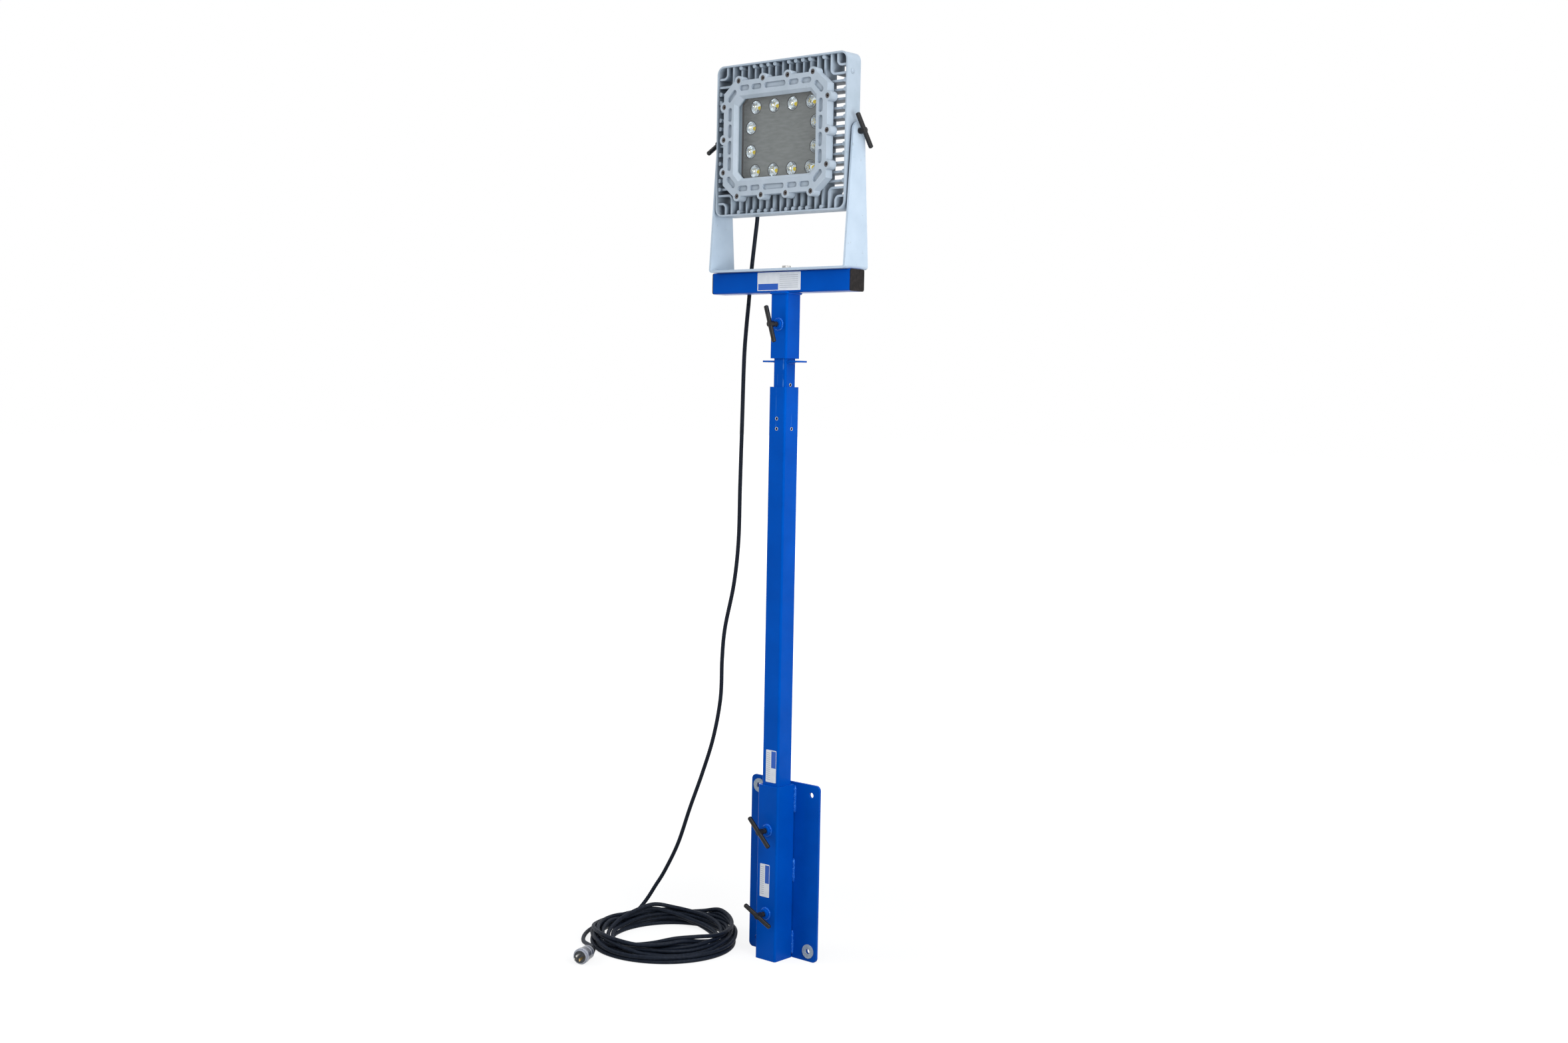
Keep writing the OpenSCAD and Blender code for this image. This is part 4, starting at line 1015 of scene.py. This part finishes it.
# %% Print on the stickers
def blank_print(name, block_x, block_z, rule_x, rule_z, rules):
    """A white sheet with a blue block and grey rules; every range is in shares of the sheet."""
    material, shader = finish(name, specular=0.4)
    nodes, links = material.node_tree.nodes, material.node_tree.links
    split = nodes.new("ShaderNodeSeparateXYZ")
    links.new(nodes.new("ShaderNodeTexCoord").outputs["Generated"], split.inputs[0])
    x, z = split.outputs["X"], split.outputs["Z"]
    vinyl = ((0.3, (0.66, 0.70, 0.76)), (0.7, (0.74, 0.77, 0.82)))
    white = shades(material, noise(material, 12 * MM), vinyl)
    block = sums(material, "MULTIPLY", inside(material, x, *block_x), inside(material, z, *block_z))
    colour = blend_colour(material, block, white, (0.01, 0.09, 0.46))
    row = sums(material, "FRACT", sums(material, "MULTIPLY", z, float(rules)))
    line = sums(material, "MULTIPLY", inside(material, row, 0.3, 0.62), inside(material, x, *rule_x))
    line = sums(material, "MULTIPLY", line, inside(material, z, *rule_z))
    colour = blend_colour(material, line, colour, (0.42, 0.45, 0.50))
    shine = spread(material, noise(material, 8 * MM), 0.3, 0.45)
    paint_in(material, shader, Base_Color=colour, Roughness=shine)
    grain(material, shader, noise(material, 6 * MM), 0.05 * MM)
    return material


crossbar_print = blank_print("crossbar_print", (0.02, 0.485), (0.04, 0.38), (0.52, 0.94), (0.12, 0.9), 9)
mast_print = blank_print("mast_print", (0.52, 0.97), (0.45, 0.97), (0.08, 0.42), (0.06, 0.94), 16)
socket_print = blank_print("socket_print", (0.54, 0.97), (0.42, 0.97), (0.08, 0.44), (0.06, 0.94), 16)
print("prints: 3")

# %% [markdown]
# ## Dress every part
# A part takes a finish by name. Each part could get its finish where it is made, but one table shows all
# of them at a glance. The solids keep their own meshes, and only their material slots change.

# %% Dress every part
FINISHES = {
    blue: ["mount_plate", "socket_tube", "socket_floor", "socket_bosses", "stop_wings", "neck_tube",
           "neck_boss", "crossbar"],
    mast_blue: ["mast_tube"],
    extension_blue: ["extension_tube"],
    yoke_coat: ["yoke"],
    housing_coat: ["lamp_housing", "driver_case"],
    bezel_coat: ["bezel"],
    grip_vinyl: ["socket_upper_grip", "socket_lower_grip", "neck_grip", "yoke_left_grip",
                 "yoke_right_grip"],
    stem_steel: ["socket_upper_screw", "socket_lower_screw", "neck_screw", "yoke_left_screw",
                 "yoke_right_screw"],
    cap_plastic: ["crossbar_cap_left", "crossbar_cap_right", "cable_gland"],
    bolt_dark: ["bezel_screws"],
    bolt_grey: ["yoke_bolt"],
    washer_zinc: ["plate_washers"],
    panel_grey: ["led_panel"],
    cup_chrome: ["reflector_cups"],
    chip_white: ["led_chips"],
    window_clear: ["window_glass"],
    plug_smoke: ["plug_body"],
    plug_rimmed: ["plug_face"],
    blade_metal: ["plug_blades"],
}
ADDED = {
    lead: cord_rubber, hanging: cord_rubber, base_welds: bead_blue, neck_boss_weld: bead_blue,
    head_fillets: blue,
    crossbar_sticker: crossbar_print, mast_sticker: mast_print, socket_sticker: socket_print,
    rim_screw: housing_coat, led_seals: cap_plastic, led_domes: phosphor, plug_collar: plug_smoke,
    lid_screws: bolt_dark, mast_pin_edges: bolt_grey, head_pin_edge: bolt_grey,
}


def dress(piece, material):
    piece.data.materials.clear()
    piece.data.materials.append(material)


for material, names in FINISHES.items():
    for node in names:
        dress(NODES[node], material)
for piece, material in ADDED.items():
    dress(piece, material)
print("dressed:", sum(len(names) for names in FINISHES.values()) + len(ADDED))

# %% [markdown]
# ## Floor and light
# The photograph has a plain white ground and even light that is stronger on the lamp's right side. A wide
# pale floor turns to pure white away from the object, so no horizon shows, and keeps the soft shadow
# near it. Four area lamps stand for the studio's soft boxes; the left one is hidden from mirror rays, so
# that it doesn't whiten the window.

# %% Floor
FLOOR_REACH = 40.0
FLOOR_PALE = (0.45, 0.46, 0.47, 1)
FLOOR_WHITE = 1.36
FLOOR_NEAR_SHARE = 0.62
FLOOR_FADE = (0.5, 2.6)


def white_rays(owner):
    """A factor of 1 for rays that look at the background: camera, glossy and transmission rays."""
    path = owner.node_tree.nodes.new("ShaderNodeLightPath")
    total = path.outputs["Is Camera Ray"]
    for kind in ("Is Glossy Ray", "Is Transmission Ray"):
        total = sums(owner, "MAXIMUM", total, path.outputs[kind])
    return total


mesh = bmesh.new()
bmesh.ops.create_grid(mesh, x_segments=2, y_segments=2, size=FLOOR_REACH)
floor = make_piece("floor", mesh, smooth=False)
floor.location.z = GROUND

material, nodes, links = new_material("studio_floor")
output = nodes.new("ShaderNodeOutputMaterial")
pale = nodes.new("ShaderNodeBsdfDiffuse")
pale.inputs["Color"].default_value = FLOOR_PALE
white = nodes.new("ShaderNodeEmission")
white.inputs["Strength"].default_value = FLOOR_WHITE
away = nodes.new("ShaderNodeVectorMath")
away.operation = "LENGTH"
links.new(own_place(material), away.inputs[0])
fade = spread(material, away.outputs["Value"], FLOOR_NEAR_SHARE, 1, *FLOOR_FADE)
fade.node.interpolation_type = "SMOOTHSTEP"
mix = nodes.new("ShaderNodeMixShader")
links.new(sums(material, "MULTIPLY", fade, white_rays(material)), mix.inputs["Fac"])
links.new(pale.outputs[0], mix.inputs[1])
links.new(white.outputs[0], mix.inputs[2])
links.new(mix.outputs[0], output.inputs["Surface"])
floor.data.materials.append(material)
print("floor at m:", round(GROUND, 4))

# %% World and lamps
WORLD_LEVEL = 0.38

world = bpy.data.worlds.new("studio")
bpy.context.scene.world = world
world.use_nodes = True
nodes, links = world.node_tree.nodes, world.node_tree.links
nodes.clear()
sky = nodes.new("ShaderNodeBackground")
sky.inputs["Color"].default_value = (1, 1, 1, 1)
links.new(spread(world, white_rays(world), WORLD_LEVEL, 1, 0, 1), sky.inputs["Strength"])
links.new(sky.outputs[0], nodes.new("ShaderNodeOutputWorld").inputs["Surface"])


def soft_box(name, place, aim, size, watts):
    """A square area lamp that points at aim."""
    data = bpy.data.lights.new(name, "AREA")
    data.shape = "SQUARE"
    data.size = size
    data.energy = watts
    lamp = bpy.data.objects.new(name, data)
    lamp.location = place
    lamp.rotation_euler = (Vector(aim) - Vector(place)).to_track_quat("-Z", "Y").to_euler()
    lamp.visible_camera = False
    bpy.context.collection.objects.link(lamp)
    return lamp


MAST_MIDDLE = (0, 0, 1.0)
HEAD_MIDDLE = (0, 0, 1.2)
LAMP_MIDDLE = (0, 0, 1.6)
soft_box("right_soft_box", (2.8, -0.6, 3.0), MAST_MIDDLE, 2.2, 36)
soft_box("near_soft_box", (1.8, -0.9, 1.2), HEAD_MIDDLE, 0.9, 30)
left_box = soft_box("left_soft_box", (-2.8, -2.6, 2.8), LAMP_MIDDLE, 2.2, 64)
left_box.visible_glossy = False
soft_box("top_soft_box", (0.6, -0.6, 4.6), MAST_MIDDLE, 2.2, 40)
print("lamps: 4")
